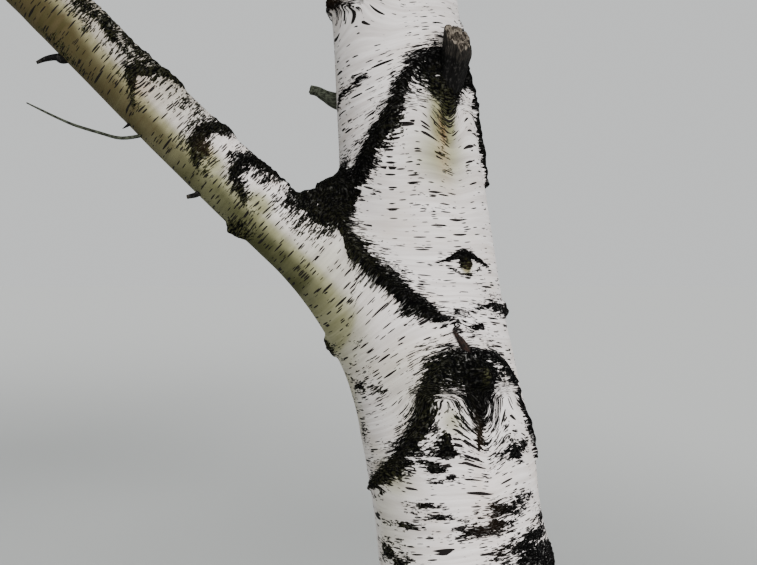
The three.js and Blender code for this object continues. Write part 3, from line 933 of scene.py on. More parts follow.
def set_values(mesh, name, values):
    """Stores a number or a vector for each vertex under a name."""
    values = np.ascontiguousarray(values, dtype=np.float32)
    kind, field = ("FLOAT_VECTOR", "vector") if values.ndim == 2 else ("FLOAT", "value")
    layer = mesh.attributes.new(name, kind, "POINT")
    layer.data.foreach_set(field, values.ravel())


def bark_attributes(mesh, grain, dark, green=0.0, rust=0.0, fine=0.0, brown=0.0):
    """What the bark's material reads, for each vertex."""
    set_values(mesh, "grain", grain)
    for name, values in [("dark", dark), ("green", green), ("rust", rust), ("fine", fine), ("brown", brown)]:
        set_values(mesh, name, values + np.zeros(len(grain)))


fork_normals = slope(lambda p: fork_distance(p)[0], fork_points)
fork_normals /= np.linalg.norm(fork_normals, axis=1)[:, None]
shift = bark_relief(fork_points, fork_grain, fork_inside, fork_relief)
fork.data.vertices.foreach_set("co", (fork_points + fork_normals * shift[:, None]).astype(np.float32).ravel())
bark_attributes(fork.data, fork_grain, darkness(fork_inside), fork_moss_and_shade, fork_rust, fork_fine, fork_brown)
fork.data.shade_smooth()
fork.data.update()
print("relief from", round(shift.min() * 1000, 1), "to", round(shift.max() * 1000, 1), "mm")

# %% [markdown]
# Shader maths in plain expressions
#
# A material is a graph of nodes, but its sums read best as sums. The class below wraps one socket, and its
# operators add Math nodes. Sums of vectors have a function of their own.

# %% The socket class
class Socket:
    """A node's output, with arithmetic."""

    def __init__(self, tree, out):
        self.tree, self.out = tree, out

    def node(self, kind, settings=None, result=0, **inputs):
        """Any node: its type, its settings, then values or links of its named inputs."""
        return add_node(self.tree, kind, settings, result, **inputs)

    def maths(self, operation, a, b=0.0):
        """A Math node on two values or links."""
        node = self.tree.nodes.new("ShaderNodeMath")
        node.operation = operation
        for slot, value in zip(node.inputs, (a, b)):
            plug(self.tree, slot, value)
        return Socket(self.tree, node.outputs[0])

    def __add__(self, other):
        return self.maths("ADD", self, other)

    def __radd__(self, other):
        return self.maths("ADD", other, self)

    def __sub__(self, other):
        return self.maths("SUBTRACT", self, other)

    def __rsub__(self, other):
        return self.maths("SUBTRACT", other, self)

    def __mul__(self, other):
        return self.maths("MULTIPLY", self, other)

    def __rmul__(self, other):
        return self.maths("MULTIPLY", other, self)

    def __truediv__(self, other):
        return self.maths("DIVIDE", self, other)

    def __gt__(self, other):
        return self.maths("GREATER_THAN", self, other)

    def over(self, other):
        """The greater of two values."""
        return self.maths("MAXIMUM", self, other)

    def ramp(self, low, high, start=0.0, end=1.0):
        """A smooth step from start to end as the value goes from low to high."""
        return self.node("ShaderNodeMapRange", {"interpolation_type": "SMOOTHSTEP"}, Value=self,
                         From_Min=low, From_Max=high, To_Min=start, To_Max=end)


def plug(tree, slot, value):
    """Links a socket to an input, or sets a plain number or colour on it."""
    if isinstance(value, Socket):
        tree.links.new(value.out, slot)
    elif isinstance(value, (tuple, list)) and len(slot.default_value) == 4:
        slot.default_value = (*value, 1.0)[:4]
    else:
        slot.default_value = value


def add_node(tree, kind, settings=None, result=0, **inputs):
    """A node of a type, with its settings made first, then values or links of its named inputs."""
    node = tree.nodes.new(kind)
    for name, value in (settings or {}).items():
        setattr(node, name, value)
    for name, value in inputs.items():
        wanted = name.replace("_", " ")
        slot = next(s for s in node.inputs if s.name == wanted and s.enabled)
        plug(tree, slot, value)
    outputs = [s for s in node.outputs if s.enabled]
    return Socket(tree, outputs[result] if isinstance(result, int) else node.outputs[result])


def mix_colours(tree, share, first, second):
    """first where share is 0, second where it is 1."""
    node = tree.nodes.new("ShaderNodeMix")
    node.data_type = "RGBA"
    for slot, value in zip([s for s in node.inputs if s.enabled], (share, first, second)):
        plug(tree, slot, value)
    return Socket(tree, next(s for s in node.outputs if s.enabled))


def attribute(tree, name, kind="Fac"):
    """What the mesh stores under a name."""
    node = tree.nodes.new("ShaderNodeAttribute")
    node.attribute_name = name
    return Socket(tree, node.outputs[kind])


def vector_maths(tree, operation, first, second):
    """A Vector Math node on two vectors."""
    result = add_node(tree, "ShaderNodeVectorMath", {"operation": operation}, Vector=first)
    plug(tree, result.out.node.inputs[1], second)
    return result


def stretched(tree, vector, scale, wander=0.0, wander_size=20.0):
    """A vector scaled along each axis, and led astray a little so that a pattern isn't too regular."""
    scaled = vector_maths(tree, "MULTIPLY", vector, scale)
    if not wander:
        return scaled
    stray = add_node(tree, "ShaderNodeTexNoise", {"noise_dimensions": "3D"}, result="Color",
                     Vector=vector, Scale=wander_size, Detail=1.0)
    centred = vector_maths(tree, "SUBTRACT", stray, (0.5, 0.5, 0.5))
    strayed = add_node(tree, "ShaderNodeVectorMath", {"operation": "SCALE"}, Vector=centred, Scale=wander)
    return vector_maths(tree, "ADD", scaled, strayed)


def grain_noise(tree, grain, scale, detail=3.0, roughness=0.5):
    """Noise in the grain's own space, with its own scale along each axis."""
    return add_node(tree, "ShaderNodeTexNoise", {"noise_dimensions": "3D"}, Scale=1.0, Detail=detail,
                    Roughness=roughness, Vector=stretched(tree, grain, scale))


def new_material(name):
    """A material, its nodes and its surface shader."""
    material = bpy.data.materials.new(name)
    material.use_nodes = True
    tree = material.node_tree
    return material, tree, tree.nodes["Principled BSDF"]


# %% [markdown]
# Birch bark
#
# The bark of a birch is a thin white skin of paper. Its pores are dark dashes that lie across the limb, and
# they tear and widen where the bark stretches. Where it has burst it is black, with crumbling edges that
# break up along the pores. All of this is drawn in the grain's own space, stretched across the limb, so the
# dashes turn with the limb. One material is enough for all limbs, because each vertex says how dark it is.

# %% The bark's finishes
PAPER = ((0.60, 0.55, 0.535), (0.86, 0.815, 0.81))
PAPER_CLOUDS = (0.64, 0.56, 0.49)
MOSS = ((0.20, 0.195, 0.105), (0.34, 0.33, 0.205))
# The darkest olive, which below the boughs is mostly painted shade.
DEEP_MOSS_AND_SHADE = (0.042, 0.044, 0.014)
RUST = ((0.30, 0.17, 0.08), (0.50, 0.36, 0.22))
YOUNG_BARK = ((0.10, 0.045, 0.025), (0.19, 0.10, 0.06))
PORE = (0.012, 0.0105, 0.010)
# The paler coal and the grey flecks are partly the bark's own grey and partly painted highlights on the
# raised crumbs and flakes.
COAL_TONES_AND_HIGHLIGHT = ((0.0012, 0.0012, 0.0012), (0.019, 0.0185, 0.018))
PAPER_LEFT_AND_HIGHLIGHT = (0.30, 0.29, 0.285)
COAL_RUST = (0.055, 0.032, 0.016)
COAL_MOSS = (0.062, 0.063, 0.026)
NOISES = {
    "fibres": ((70, 70, 430), 3.0), "chunks": ((34, 34, 95), 3.0), "flakes": ((150, 150, 430), 2.0),
    "crumbs": ((260, 260, 420), 4.0), "lumps": ((16, 16, 34), 2.0), "streaks": ((7, 7, 130), 3.0),
    "clouds": ((11, 11, 14), 2.0),
}
NOISE_ROUGHNESS = 0.55
PORE_LONG = 1 / 0.034
PORE_THICK = 1 / 0.0043
SMALL_PORE = (2.1, 1.8)
PORE_EDGE = 0.03


def pores(tree, grain, long, thick, keep, size, seed):
    """Dashes across the limb: the middles of a few stretched cells."""
    placed = stretched(tree, grain, (long, long, thick), wander=0.5, wander_size=9.0)
    moved = vector_maths(tree, "ADD", placed, (seed, seed * 2.3, seed * 0.7))
    cells = {"voronoi_dimensions": "3D", "feature": "F1"}
    distance = add_node(tree, "ShaderNodeTexVoronoi", cells, result="Distance", Vector=moved, Scale=1.0)
    colour = Socket(tree, distance.out.node.outputs["Color"])
    chance = add_node(tree, "ShaderNodeSeparateColor", Color=colour)
    other_chance = Socket(tree, chance.out.node.outputs[1])
    inside = (size * (0.45 + 0.75 * other_chance) - distance) / PORE_EDGE
    return inside.ramp(0.0, 1.0) * (chance > keep)


def all_pores(tree, grain, near_black, fine):
    """Long pores and small ones, closer together where the bark is nearly black."""
    long_kept = 0.895 + fine * 0.05 - near_black * 0.10
    small_kept = 0.91 - fine * 0.22 - near_black * 0.30
    small_long, small_thick = PORE_LONG * SMALL_PORE[0], PORE_THICK * SMALL_PORE[1]
    long_ones = pores(tree, grain, PORE_LONG, PORE_THICK, long_kept, 0.50 - fine * 0.12, 0.0)
    return long_ones.over(pores(tree, grain, small_long, small_thick, small_kept, 0.5, 7.3))


def pale_bark(tree, noise, green, rust, brown):
    """The white paper, with moss and rust on it, painted shade below the boughs and the brown of a young
    limb.
    """
    streaks, clouds = noise["streaks"], noise["clouds"]
    paper = mix_colours(tree, streaks.ramp(0.25, 0.75), *PAPER)
    paper = mix_colours(tree, clouds.ramp(0.45, 0.75, 0.0, 0.5), paper, PAPER_CLOUDS)
    moss = green * (0.55 + clouds * 0.5 + streaks * 0.4)
    moss_and_shade_colour = mix_colours(tree, streaks.ramp(0.3, 0.7), *MOSS)
    # Where the green is strongest, below the boughs, its dark olive is mostly painted shade.
    moss_and_shade_colour = mix_colours(tree, moss.ramp(0.60, 1.0, 0.0, 0.95), moss_and_shade_colour, DEEP_MOSS_AND_SHADE)
    paper = mix_colours(tree, moss.ramp(0.0, 0.65), paper, moss_and_shade_colour)
    rusty = mix_colours(tree, noise["fibres"].ramp(0.35, 0.65), *RUST)
    paper = mix_colours(tree, rust * 0.8, paper, rusty)
    return mix_colours(tree, brown, paper, mix_colours(tree, streaks.ramp(0.3, 0.7), *YOUNG_BARK))


def burst_bark(tree, noise, dark, green, rust):
    """The black bark, with the odd flake of paper left on it and its own moss and rust.
    Its paler crumbs and flakes lie on the raised relief: partly the bark's own grey, partly painted
    highlights.
    """
    crumbs, flakes = noise["crumbs"], noise["flakes"]
    coal_and_highlights = mix_colours(tree, crumbs.ramp(0.50, 0.72), *COAL_TONES_AND_HIGHLIGHT)
    left = flakes.ramp(0.60, 0.66) * noise["chunks"].ramp(0.42, 0.62) * dark.ramp(0.72, 1.0, 0.85, 0.12)
    coal_and_highlights = mix_colours(tree, left, coal_and_highlights, PAPER_LEFT_AND_HIGHLIGHT)
    coal_and_highlights = mix_colours(tree, rust * crumbs.ramp(0.35, 0.6, 0.2, 0.55), coal_and_highlights, COAL_RUST)
    return mix_colours(tree, green * flakes.ramp(0.46, 0.62) * 0.9, coal_and_highlights, COAL_MOSS)


# %% The bark's material
def bark_material():
    """Pale bark with pores, black where the vertex says so, with an edge that breaks up."""
    material, tree, surface = new_material("birch bark")
    grain = attribute(tree, "grain", "Vector")
    dark, green, rust = (attribute(tree, name) for name in ("dark", "green", "rust"))
    fine, brown = attribute(tree, "fine"), attribute(tree, "brown")
    noise = {name: grain_noise(tree, grain, scale, detail, NOISE_ROUGHNESS)
             for name, (scale, detail) in NOISES.items()}
    fibres, flakes, crumbs = noise["fibres"], noise["flakes"], noise["crumbs"]
    broken = dark + (fibres - 0.5) * 1.15 + (noise["chunks"] - 0.5) * 0.7
    broken = broken + (flakes - 0.5) * 0.75 + (noise["lumps"] - 0.5) * 0.7
    black = broken.ramp(0.475, 0.525)
    dashes = all_pores(tree, grain, dark.ramp(0.05, 0.5), fine)
    pale = mix_colours(tree, dashes, pale_bark(tree, noise, green, rust, brown), PORE)
    colour = mix_colours(tree, black, pale, burst_bark(tree, noise, dark, green, rust))
    height = black * (0.7 + crumbs * 2.0 + flakes * 0.8) + dashes * 0.25
    height = height + noise["streaks"] * 0.9 + fibres * 0.12
    bump = add_node(tree, "ShaderNodeBump", Strength=0.85, Distance=0.0018, Height=height)
    plug(tree, surface.inputs["Base Color"], colour)
    plug(tree, surface.inputs["Roughness"], 0.58 + black * 0.32)
    plug(tree, surface.inputs["Normal"], bump)
    plug(tree, surface.inputs["Specular IOR Level"], 0.03)
    return material


bark = bark_material()
fork.data.materials.clear()
fork.data.materials.append(bark)
print("bark material:", len(bark.node_tree.nodes), "nodes")

# %% [markdown]
# The rest of the trunk and the boughs
#
# Away from the fork a limb is a plain tube, so a grid of rings round its axis is enough: it follows the same
# stations, carries the same marks and reads the same material. Each ring's points are moved outwards by the
# relief. The limb keeps its true taper, and every bough swells where it leaves the trunk.

# %% Limb helpers
def outward(vertices, faces):
    """The faces, turned round if they enclose a negative volume."""
    a, b, c = (vertices[faces[:, i]] for i in range(3))
    volume = (a * np.cross(b, c)).sum()
    return faces if volume > 0 else faces[:, ::-1]


def closed_tube(points, sides):
    """Triangles between rings of points, with a fan on each end."""
    rings = len(points) // sides
    quads = tube_faces(rings, sides)
    ring = np.arange(sides)
    last = (rings - 1) * sides
    bottom, top = len(points), len(points) + 1
    fans = [np.stack([np.full(sides, bottom), (ring + 1) % sides, ring], axis=1),
            np.stack([np.full(sides, top), last + ring, last + (ring + 1) % sides], axis=1)]
    ends = [points[:sides].mean(axis=0), points[last:].mean(axis=0)]
    faces = np.concatenate([quads[:, [0, 1, 2]], quads[:, [0, 2, 3]], *fans])
    vertices = np.vstack([points, ends])
    return vertices, outward(vertices, faces)


def barked_tube(name, centres, firsts, seconds, along, radii, mark, turned, growth, tones):
    """A limb with bark. radii is one value for each ring and side, and turned tells how its grain is laid."""
    rings, sides = radii.shape
    t = np.linspace(0, 2 * np.pi, sides, endpoint=False)
    ways = firsts[:, None, :] * np.cos(t)[None, :, None] + seconds[:, None, :] * np.sin(t)[None, :, None]
    angle = np.degrees(np.tile(t, rings))
    angle = (angle + 180) % 360 - 180
    skin = Skin(angle, np.repeat(along, sides), np.repeat(radii.mean(axis=1), sides))
    skin.width_stations = (along, radii.mean(axis=1))
    mark(skin)
    flat = radii.ravel()
    first, second = flat * np.cos(np.tile(t, rings)), flat * np.sin(np.tile(t, rings))
    parts = (second, -first) if turned else (first, -second)
    grain = np.stack([*parts, skin.along + growth - skin.bend], axis=1)
    points = (np.repeat(centres, sides, axis=0) + ways.reshape(-1, 3) * flat[:, None])
    shift = bark_relief(points, grain, skin.inside, skin.relief)
    points = points + ways.reshape(-1, 3) * shift[:, None]
    vertices, faces = closed_tube(points, sides)
    piece = new_object(name, vertices, faces)
    ends = [grain[:sides].mean(axis=0), grain[-sides:].mean(axis=0)]
    dark = np.append(darkness(skin.inside), [1, 1])
    tones = {key: np.append(value(skin), [0, 0]) for key, value in tones.items()}
    bark_attributes(piece.data, np.vstack([grain, ends]), dark, **tones)
    piece.data.shade_smooth()
    piece.data.materials.append(bark)
    return piece


# %% The trunk below and above the fork
FINE = 1.0
TIP_HALF_WIDTH = 0.0035
CROWN_TOP = 14.85


def trunk_stretch(name, low, high, spacing, sides):
    """The trunk between two heights, as rings that lie level."""
    heights = np.linspace(low, high, max(3, round((high - low) / spacing)))
    cx, cy = trunk_centre(heights)
    centres = np.stack([cx, cy, heights], axis=1)
    south, east = np.tile((0.0, -1, 0), (len(heights), 1)), np.tile((1.0, 0, 0), (len(heights), 1))
    t = np.linspace(0, 2 * np.pi, sides, endpoint=False)
    radii = trunk_half_width(heights[:, None], np.sin(t)[None, :], -np.cos(t)[None, :])
    leader = ramp(heights, TRUNK_TOP - 0.8, CROWN_TOP)[:, None]
    radii = radii * (1 - leader) + TIP_HALF_WIDTH * leader
    tones = {
        "brown": lambda skin: ramp(0.026 - skin.half_width, 0, 0.018),
        "fine": lambda skin: 0.15 + 0.5 * ramp(0.09 - skin.half_width, 0, 0.06),
        "green": foot_moss,
    }
    growth = trunk_tilt(heights[:, None], radii * np.sin(t)[None, :]).ravel()
    return barked_tube(name, centres, south, east, heights, radii, mark_trunk, True, growth, tones)


def foot_moss(skin):
    """The moss on the foot, which climbs higher on some sides."""
    below_edge = 0.55 - skin.along + 0.1 * np.sin(np.radians(skin.angle * 3))
    return 0.75 * ramp(below_edge, 0, 0.5)


foot = trunk_stretch("foot", 0.0, FORK_LOW, 0.005 / FINE, int(210 * FINE))
upper_trunk = [
    trunk_stretch("trunk_above_fork", FORK_HIGH, 4.2, 0.0075 / FINE, int(84 * FINE)),
    trunk_stretch("trunk_in_low_crown", 4.19, 7.8, 0.011 / FINE, int(56 * FINE)),
    trunk_stretch("trunk_in_high_crown", 7.79, 11.2, 0.014 / FINE, int(40 * FINE)),
    trunk_stretch("trunk_top", 11.19, CROWN_TOP, 0.020 / FINE, int(26 * FINE)),
]
print("foot:", len(foot.data.polygons), "faces, above:", [len(p.data.polygons) for p in upper_trunk])

# %% [markdown]
# Masses and their leaders
#
# The frame holds a plain solid for each mass of foliage. It is only an outline here: a bough doesn't stop at
# the mass, it runs on through it as a leader that gets thin, and the hanging masses grow on limbs that arch
# out of the mass above them. The trunk's own tip is the leader of the topmost mass.

# %% The masses
LEADER_TIP = 0.004
LEADER_RINGS = 30
LEADER_REACH = 0.74
LEADER_LIFT = 0.22


class Mass:
    """A mass of foliage: its outline, and whether a place is inside."""

    def __init__(self, name):
        self.name = name
        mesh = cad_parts[name].data
        self.corners = coordinates(mesh)
        faces = np.array([tuple(p.vertices) for p in mesh.polygons])
        self.tree = BVHTree.FromPolygons(self.corners.tolist(), faces.tolist())
        self.low, self.high = self.corners.min(axis=0), self.corners.max(axis=0)
        self.centre = (self.low + self.high) / 2
        a, b, c = (self.corners[faces[:, i]] for i in range(3))
        self.volume = float((a * np.cross(b, c)).sum() / 6)
        self.leader = None

    def depth(self, place):
        """How far inside the mass a place is, negative outside."""
        nearest, normal, _, off = self.tree.find_nearest(place)
        return off if (Vector(place) - nearest).dot(normal) < 0 else -off

    def reach(self, way):
        """How far the mass reaches from its centre in a direction."""
        return float(((self.corners - self.centre) @ way).max())


def arc(start, control, end, rings):
    """Points along an arc from start to end that sets off towards the control point."""
    t = np.linspace(0, 1, rings)[:, None]
    return (1 - t) ** 2 * start + 2 * t * (1 - t) * control + t**2 * end


def run_on(points, mass, heading):
    """A bough's axis, run on as a leader to the far side of its mass."""
    way = points[-1] - points[-4]
    way /= np.linalg.norm(way)
    out = heading_vector(heading)
    half_height = (mass.high[2] - mass.low[2]) / 2
    tip = mass.centre + out * LEADER_REACH * mass.reach(out) + np.array([0, 0, LEADER_LIFT * half_height])
    control = points[-1] + way * 0.5 * np.linalg.norm(tip - points[-1])
    mass.leader = arc(points[-1], control, tip, LEADER_RINGS)
    joined = np.vstack([points, mass.leader[1:]])
    steps = np.linalg.norm(np.diff(joined, axis=0), axis=1)
    return joined, np.concatenate([[0], np.cumsum(steps)])


masses = {name: Mass(name) for name in sorted(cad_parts) if name.startswith("leaves")}
print("masses:", len(masses), "volume", round(sum(m.volume for m in masses.values()), 1), "cubic metres")

# %% The boughs
def mark_low_bough(skin):
    """The low bough's marks past the fork."""
    mark_bough_ridges(skin)
    mark_bough(skin, seed=2, first=1.05)


def mark_bough(skin, seed, first=0.15):
    """Moustaches where twigs have left a bough, and black flecks along its upper side."""
    chance = np.random.default_rng(seed)
    length = float(skin.along.max())
    at = first
    while at < length:
        half_width = float(np.interp(at, *skin.width_stations))
        angle = chance.uniform(-180, 180)
        wide = half_width * chance.uniform(0.8, 1.6)
        skin.ridge(*chevron(angle, at, half_width, wide, wide * 0.7, half_width * 0.17), 0.002, lift=0.006)
        skin.haze(chance.uniform(-50, 50), at, (half_width * 1.2, 0.09), chance.uniform(-0.008, 0.0))
        at += chance.uniform(0.10, 0.26)


def bough_stretch(name, bough, points, along, first, last, spacing, sides, mark, growth, swell=0.0):
    """A bough between two places along its axis."""
    places = np.linspace(first, last, round((last - first) / spacing))
    centres = np.stack([np.interp(places, along, points[:, i]) for i in range(3)], axis=1)
    tangent = np.gradient(centres, axis=0)
    tangent /= np.linalg.norm(tangent, axis=1)[:, None]
    side = np.cross(heading_vector(bough["heading"]), (0, 0, 1))
    up = np.cross(side, tangent)
    widths = at_stations(bough["width"] + [(float(along[-1]), LEADER_TIP)], places)
    root = float(at_stations(HALF_WIDTH, bough["height"]))
    widths = widths * (1 + swell * np.exp(-np.maximum(places - root * 0.9, 0) / (0.7 * root)))
    tones = {
        "brown": bough_brown,
        "fine": lambda skin: 0.75 + 0 * skin.along,
        # The green below each bough is partly moss and partly painted shade.
        "green": bough_moss_and_shade,
    }
    radii = np.tile(widths[:, None], (1, sides))
    return barked_tube(name, centres, up, np.tile(-side, (len(places), 1)), places, radii, mark, False,
                       growth, tones)


low_run, low_run_along = run_on(low_points, masses["leaves_low_left"], LOW_BOUGH["heading"])
low_bough_end = bough_stretch("bough_low_outer", LOW_BOUGH, low_run, low_run_along, BOUGH_CUT,
                              low_run_along[-1], 0.0065 / FINE, int(40 * FINE), mark_low_bough, BOUGH_GROWTH)
bough_pieces = []
for i, bough in enumerate(upper_boughs):
    root = np.array([*trunk_centre(bough["height"]), bough["height"]])
    points, along = limb_axis(root, bough["heading"], bough["rise"], bough["length"])
    name = f"{i + 1}_{UPPER_SIDES[i]}"
    points, along = run_on(points, masses["leaves_" + name], bough["heading"])
    bough_pieces.append(bough_stretch(f"bough_{name}_bark", bough, points, along, 0.0, along[-1],
                                      0.010 / FINE, int(24 * FINE), lambda skin: mark_bough(skin, 50 + i),
                                      20.0 + 3 * i, swell=0.55))
print("boughs:", [len(p.data.polygons) for p in bough_pieces])

# %% [markdown]
# Cutting the fork
#
# The fork is cut flat where the tubes take over, and then into blocks that fit face to face. A cut would
# show as a crease, because each block would shade its own edge, so every vertex keeps the normal that it
# has on the whole skin.

# %% Cut and split
def keep_normals(piece):
    """Stores the whole skin's normals before it is cut."""
    set_values(piece.data, "skin_normal", vertex_normals(piece.data))


def cut(mesh_data, place, normal, keep_ahead):
    """A copy of a solid, cut flat at a plane and closed there."""
    mesh = bmesh.new()
    mesh.from_mesh(mesh_data)
    made = bmesh.ops.bisect_plane(
        mesh, geom=mesh.verts[:] + mesh.edges[:] + mesh.faces[:], dist=1e-7, plane_co=place,
        plane_no=normal, clear_inner=keep_ahead, clear_outer=not keep_ahead)
    edges = [e for e in made["geom_cut"] if isinstance(e, bmesh.types.BMEdge)]
    bmesh.ops.holes_fill(mesh, edges=edges, sides=0)
    data = bpy.data.meshes.new("cut")
    mesh.to_mesh(data)
    mesh.free()
    return data


def split(mesh_data, planes):
    """The blocks between planes that follow each other along one way."""
    blocks = []
    for place, normal in planes:
        blocks.append(cut(mesh_data, place, normal, keep_ahead=False))
        mesh_data = cut(mesh_data, place, normal, keep_ahead=True)
    return blocks + [mesh_data]


def finished_block(name, mesh_data):
    """An object for a block, shaded as the whole skin was."""
    values = np.empty(len(mesh_data.vertices) * 3, dtype=np.float32)
    mesh_data.attributes["skin_normal"].data.foreach_get("vector", values)
    mesh_data.attributes.remove(mesh_data.attributes["skin_normal"])
    mesh_data.normals_split_custom_set_from_vertices(values.reshape(-1, 3))
    mesh_data.materials.clear()
    mesh_data.materials.append(bark)
    piece = bpy.data.objects.new(name, mesh_data)
    bpy.context.scene.collection.objects.link(piece)
    return piece


# %% The fork's blocks
SLICE = 0.128
LEAST_SLICE = 0.05
BOUGH_SPLIT = -0.40
BOUGH_SPLITS = (0.54, 0.71, 0.88)
FOOT_SPLITS = (0.24, 0.48, 0.72)


def halves(name, block, y):
    """The front and back halves of a block of the trunk, as finished pieces."""
    return [finished_block(f"{name}_{side}", cut(block, (0, y, 0), (0, 1, 0), keep_ahead=ahead))
            for side, ahead in (("front", False), ("back", True))]


keep_normals(fork)
keep_normals(foot)
bough_end = low_points[int(BOUGH_CUT / LIMB_STEP)]
bough_way = low_points[int(BOUGH_CUT / LIMB_STEP) + 1] - bough_end
whole = cut(fork.data, (0, 0, FORK_LOW), (0, 0, 1), keep_ahead=True)
whole = cut(whole, (0, 0, FORK_HIGH), (0, 0, 1), keep_ahead=False)
whole = cut(whole, bough_end, bough_way, keep_ahead=False)
trunk_part = cut(whole, (BOUGH_SPLIT, 0, 0), (1, 0, 0), keep_ahead=True)
bough_part = cut(whole, (BOUGH_SPLIT, 0, 0), (1, 0, 0), keep_ahead=False)
bark_pieces = []
fork_splits = np.arange(FORK_LOW + SLICE, FORK_HIGH - LEAST_SLICE, SLICE)
for i, block in enumerate(split(trunk_part, [((0, 0, z), (0, 0, 1)) for z in fork_splits])):
    middle = trunk_centre(FORK_LOW + SLICE * (i + 0.5))
    bark_pieces += halves(f"trunk_fork_{i + 1}", block, middle[1])
bough_splits = [(low_points[round(place / LIMB_STEP)], bough_way) for place in BOUGH_SPLITS]
for i, block in enumerate(split(bough_part, bough_splits)):
    bark_pieces.append(finished_block(f"bough_low_{i + 1}", block))
for i, block in enumerate(split(foot.data, [((0, 0, z), (0, 0, 1)) for z in FOOT_SPLITS])):
    bark_pieces += halves(f"trunk_foot_{i + 1}", block, 0)
for worn in (fork, foot):
    bpy.data.objects.remove(worn)
print("blocks:", len(bark_pieces), "largest", max(len(p.data.polygons) for p in bark_pieces), "faces")

# %% Limbs on the frame
for piece in bark_pieces + upper_trunk:
    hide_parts(*(["bough_low_left"] if piece.name.startswith("bough") else ["trunk"]))
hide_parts("bough_low_left")
for i, piece in enumerate(bough_pieces):
    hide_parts(f"bough_{i + 1}_{UPPER_SIDES[i]}")
for piece in bark_pieces + upper_trunk + bough_pieces + [low_bough_end]:
    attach(piece, "root")

# %% [markdown]
# Dead stubs and bare twigs
#
# Dead limbs break off short. The wood breaks along its fibres, so a stub is ribbed from end to end and its
# broken face is a field of splinters, higher on one side. Each stub is one tube along a curve through a few
# knots, and its last rings close in over the break. A knot is told by its limb: the way round it, the place
# along it and how far out of its skin.

# %% Places on the limbs
def unit(vectors):
    """Vectors at a length of one."""
    return vectors / np.maximum(np.linalg.norm(vectors, axis=-1, keepdims=True), 1e-9)


def trunk_place(angle, height, out):
    """A place on the trunk, told by its angle round, its height and how far out of the skin it is."""
    cx, cy = trunk_centre(height)
    reach = float(at_stations(HALF_WIDTH, height)) + out
    turn = math.radians(angle)
    return np.array([cx + reach * math.sin(turn), cy - reach * math.cos(turn), height])


def bough_place(angle, place, out):
    """A place on the low bough, told by its angle round, its way along and how far out it is."""
    axis = np.array([np.interp(place, low_along, low_points[:, i]) for i in range(3)])
    i = int(place / (low_along[1] - low_along[0]))
    up = np.cross(low_side, unit(low_points[i + 1] - low_points[i]))
    reach = float(at_stations(LOW_BOUGH["width"], place)) + out
    turn = math.radians(angle)
    return axis + reach * (up * math.cos(turn) - low_side * math.sin(turn))


# %% One stub
STUB_RINGS = 26
FACE_RINGS = 12
RIB_DEPTH = 0.20
RIBS_ROUND = 3.1
RIBS_ALONG = 18


def stub(name, knots, half_widths, splinters=0.0, slant=(0, 0, 0), sides=32, black_until=0.0, tones=None):
    """A dead limb through a few places. slant points to the low side of the break."""
    centres = curve_points(knots, STUB_RINGS)
    tangent = unit(np.gradient(centres, axis=0))
    first = unit(np.cross(tangent, (0.25, 0.9, 0.15)))
    second = np.cross(tangent, first)
    share = np.linspace(0, 1, STUB_RINGS)
    half = np.interp(share, np.linspace(0, 1, len(half_widths)), half_widths)
    t = np.linspace(0, 2 * np.pi, sides, endpoint=False)
    ring = np.stack([np.cos(t), np.sin(t)], axis=1)
    ways = first[:, None] * ring[None, :, :1] + second[:, None] * ring[None, :, 1:]
    length = float(np.linalg.norm(np.diff(centres, axis=0), axis=1).sum())
    along = np.repeat(share * length, sides)
    seed = len(name)
    places = np.column_stack([np.tile(ring * RIBS_ROUND, (STUB_RINGS, 1)), along * RIBS_ALONG])
    ribs = rough_noise(places, seed=seed)
    radii = half[:, None] * (1 + RIB_DEPTH * ribs.reshape(STUB_RINGS, sides))

    def break_height(offset, places):
        rough = rough_noise(np.column_stack([places * 2.2 / half[-1], np.zeros(len(places))]), seed=seed + 1)
        return splinters * (1 - 2.2 * np.abs(rough)) - offset @ np.array(slant)

    rim = break_height(ways[-1] * radii[-1][:, None], ring * radii[-1][:, None])
    lifted = tangent[:, None] * (ramp(share, 0.45, 1.0)[:, None] * rim[None, :])[..., None]
    wall = (centres[:, None] + ways * radii[..., None] + lifted).reshape(-1, 3)
    face, crosses = [], [ring * radii[-1][:, None]]
    for inward in np.linspace(0.93, 0.04, FACE_RINGS):
        offset = ways[-1] * radii[-1][:, None] * inward
        crosses.append(ring * radii[-1][:, None] * inward)
        face.append(centres[-1] + offset + tangent[-1] * break_height(offset, crosses[-1])[:, None])
    points = np.vstack([wall, *face])
    cross = np.vstack([(ring[None] * radii[..., None]).reshape(-1, 2), *crosses[1:]])
    vertices, faces = closed_tube(points, sides)
    piece = new_object(name, vertices, faces)
    on_face = np.repeat([0.0] * STUB_RINGS + [1.0] * FACE_RINGS, sides)
    level = np.concatenate([along, np.full(FACE_RINGS * sides, length)])
    black = 1 - ramp(level / length, black_until - 0.2, black_until + 0.2) if black_until else 0 * level
    ends = [[0, 0, 0], [0, 0, length]]
    grain = np.vstack([np.column_stack([cross, level]), ends])
    bark_attributes(piece.data, grain, np.append(black, [1, 0]), **(tones or {}))
    set_values(piece.data, "broken", np.append(on_face, [0, 1]))
    piece.data.shade_smooth()
    piece.data.materials.append(dead_wood)
    return piece


# %% Dead wood
DEAD_WOOD = ((0.005, 0.0045, 0.004), (0.036, 0.031, 0.026))
DEAD_FIBRE = (0.15, 0.135, 0.115)
BROKEN_WOOD = ((0.016, 0.012, 0.008), (0.24, 0.205, 0.165))
GREEN_WOOD = ((0.012, 0.014, 0.009), (0.075, 0.085, 0.060))
BROWN_WOOD = ((0.004, 0.002, 0.0015), (0.034, 0.013, 0.009))
BLACK_WOOD = ((0.0025, 0.0023, 0.0022), (0.030, 0.028, 0.026))


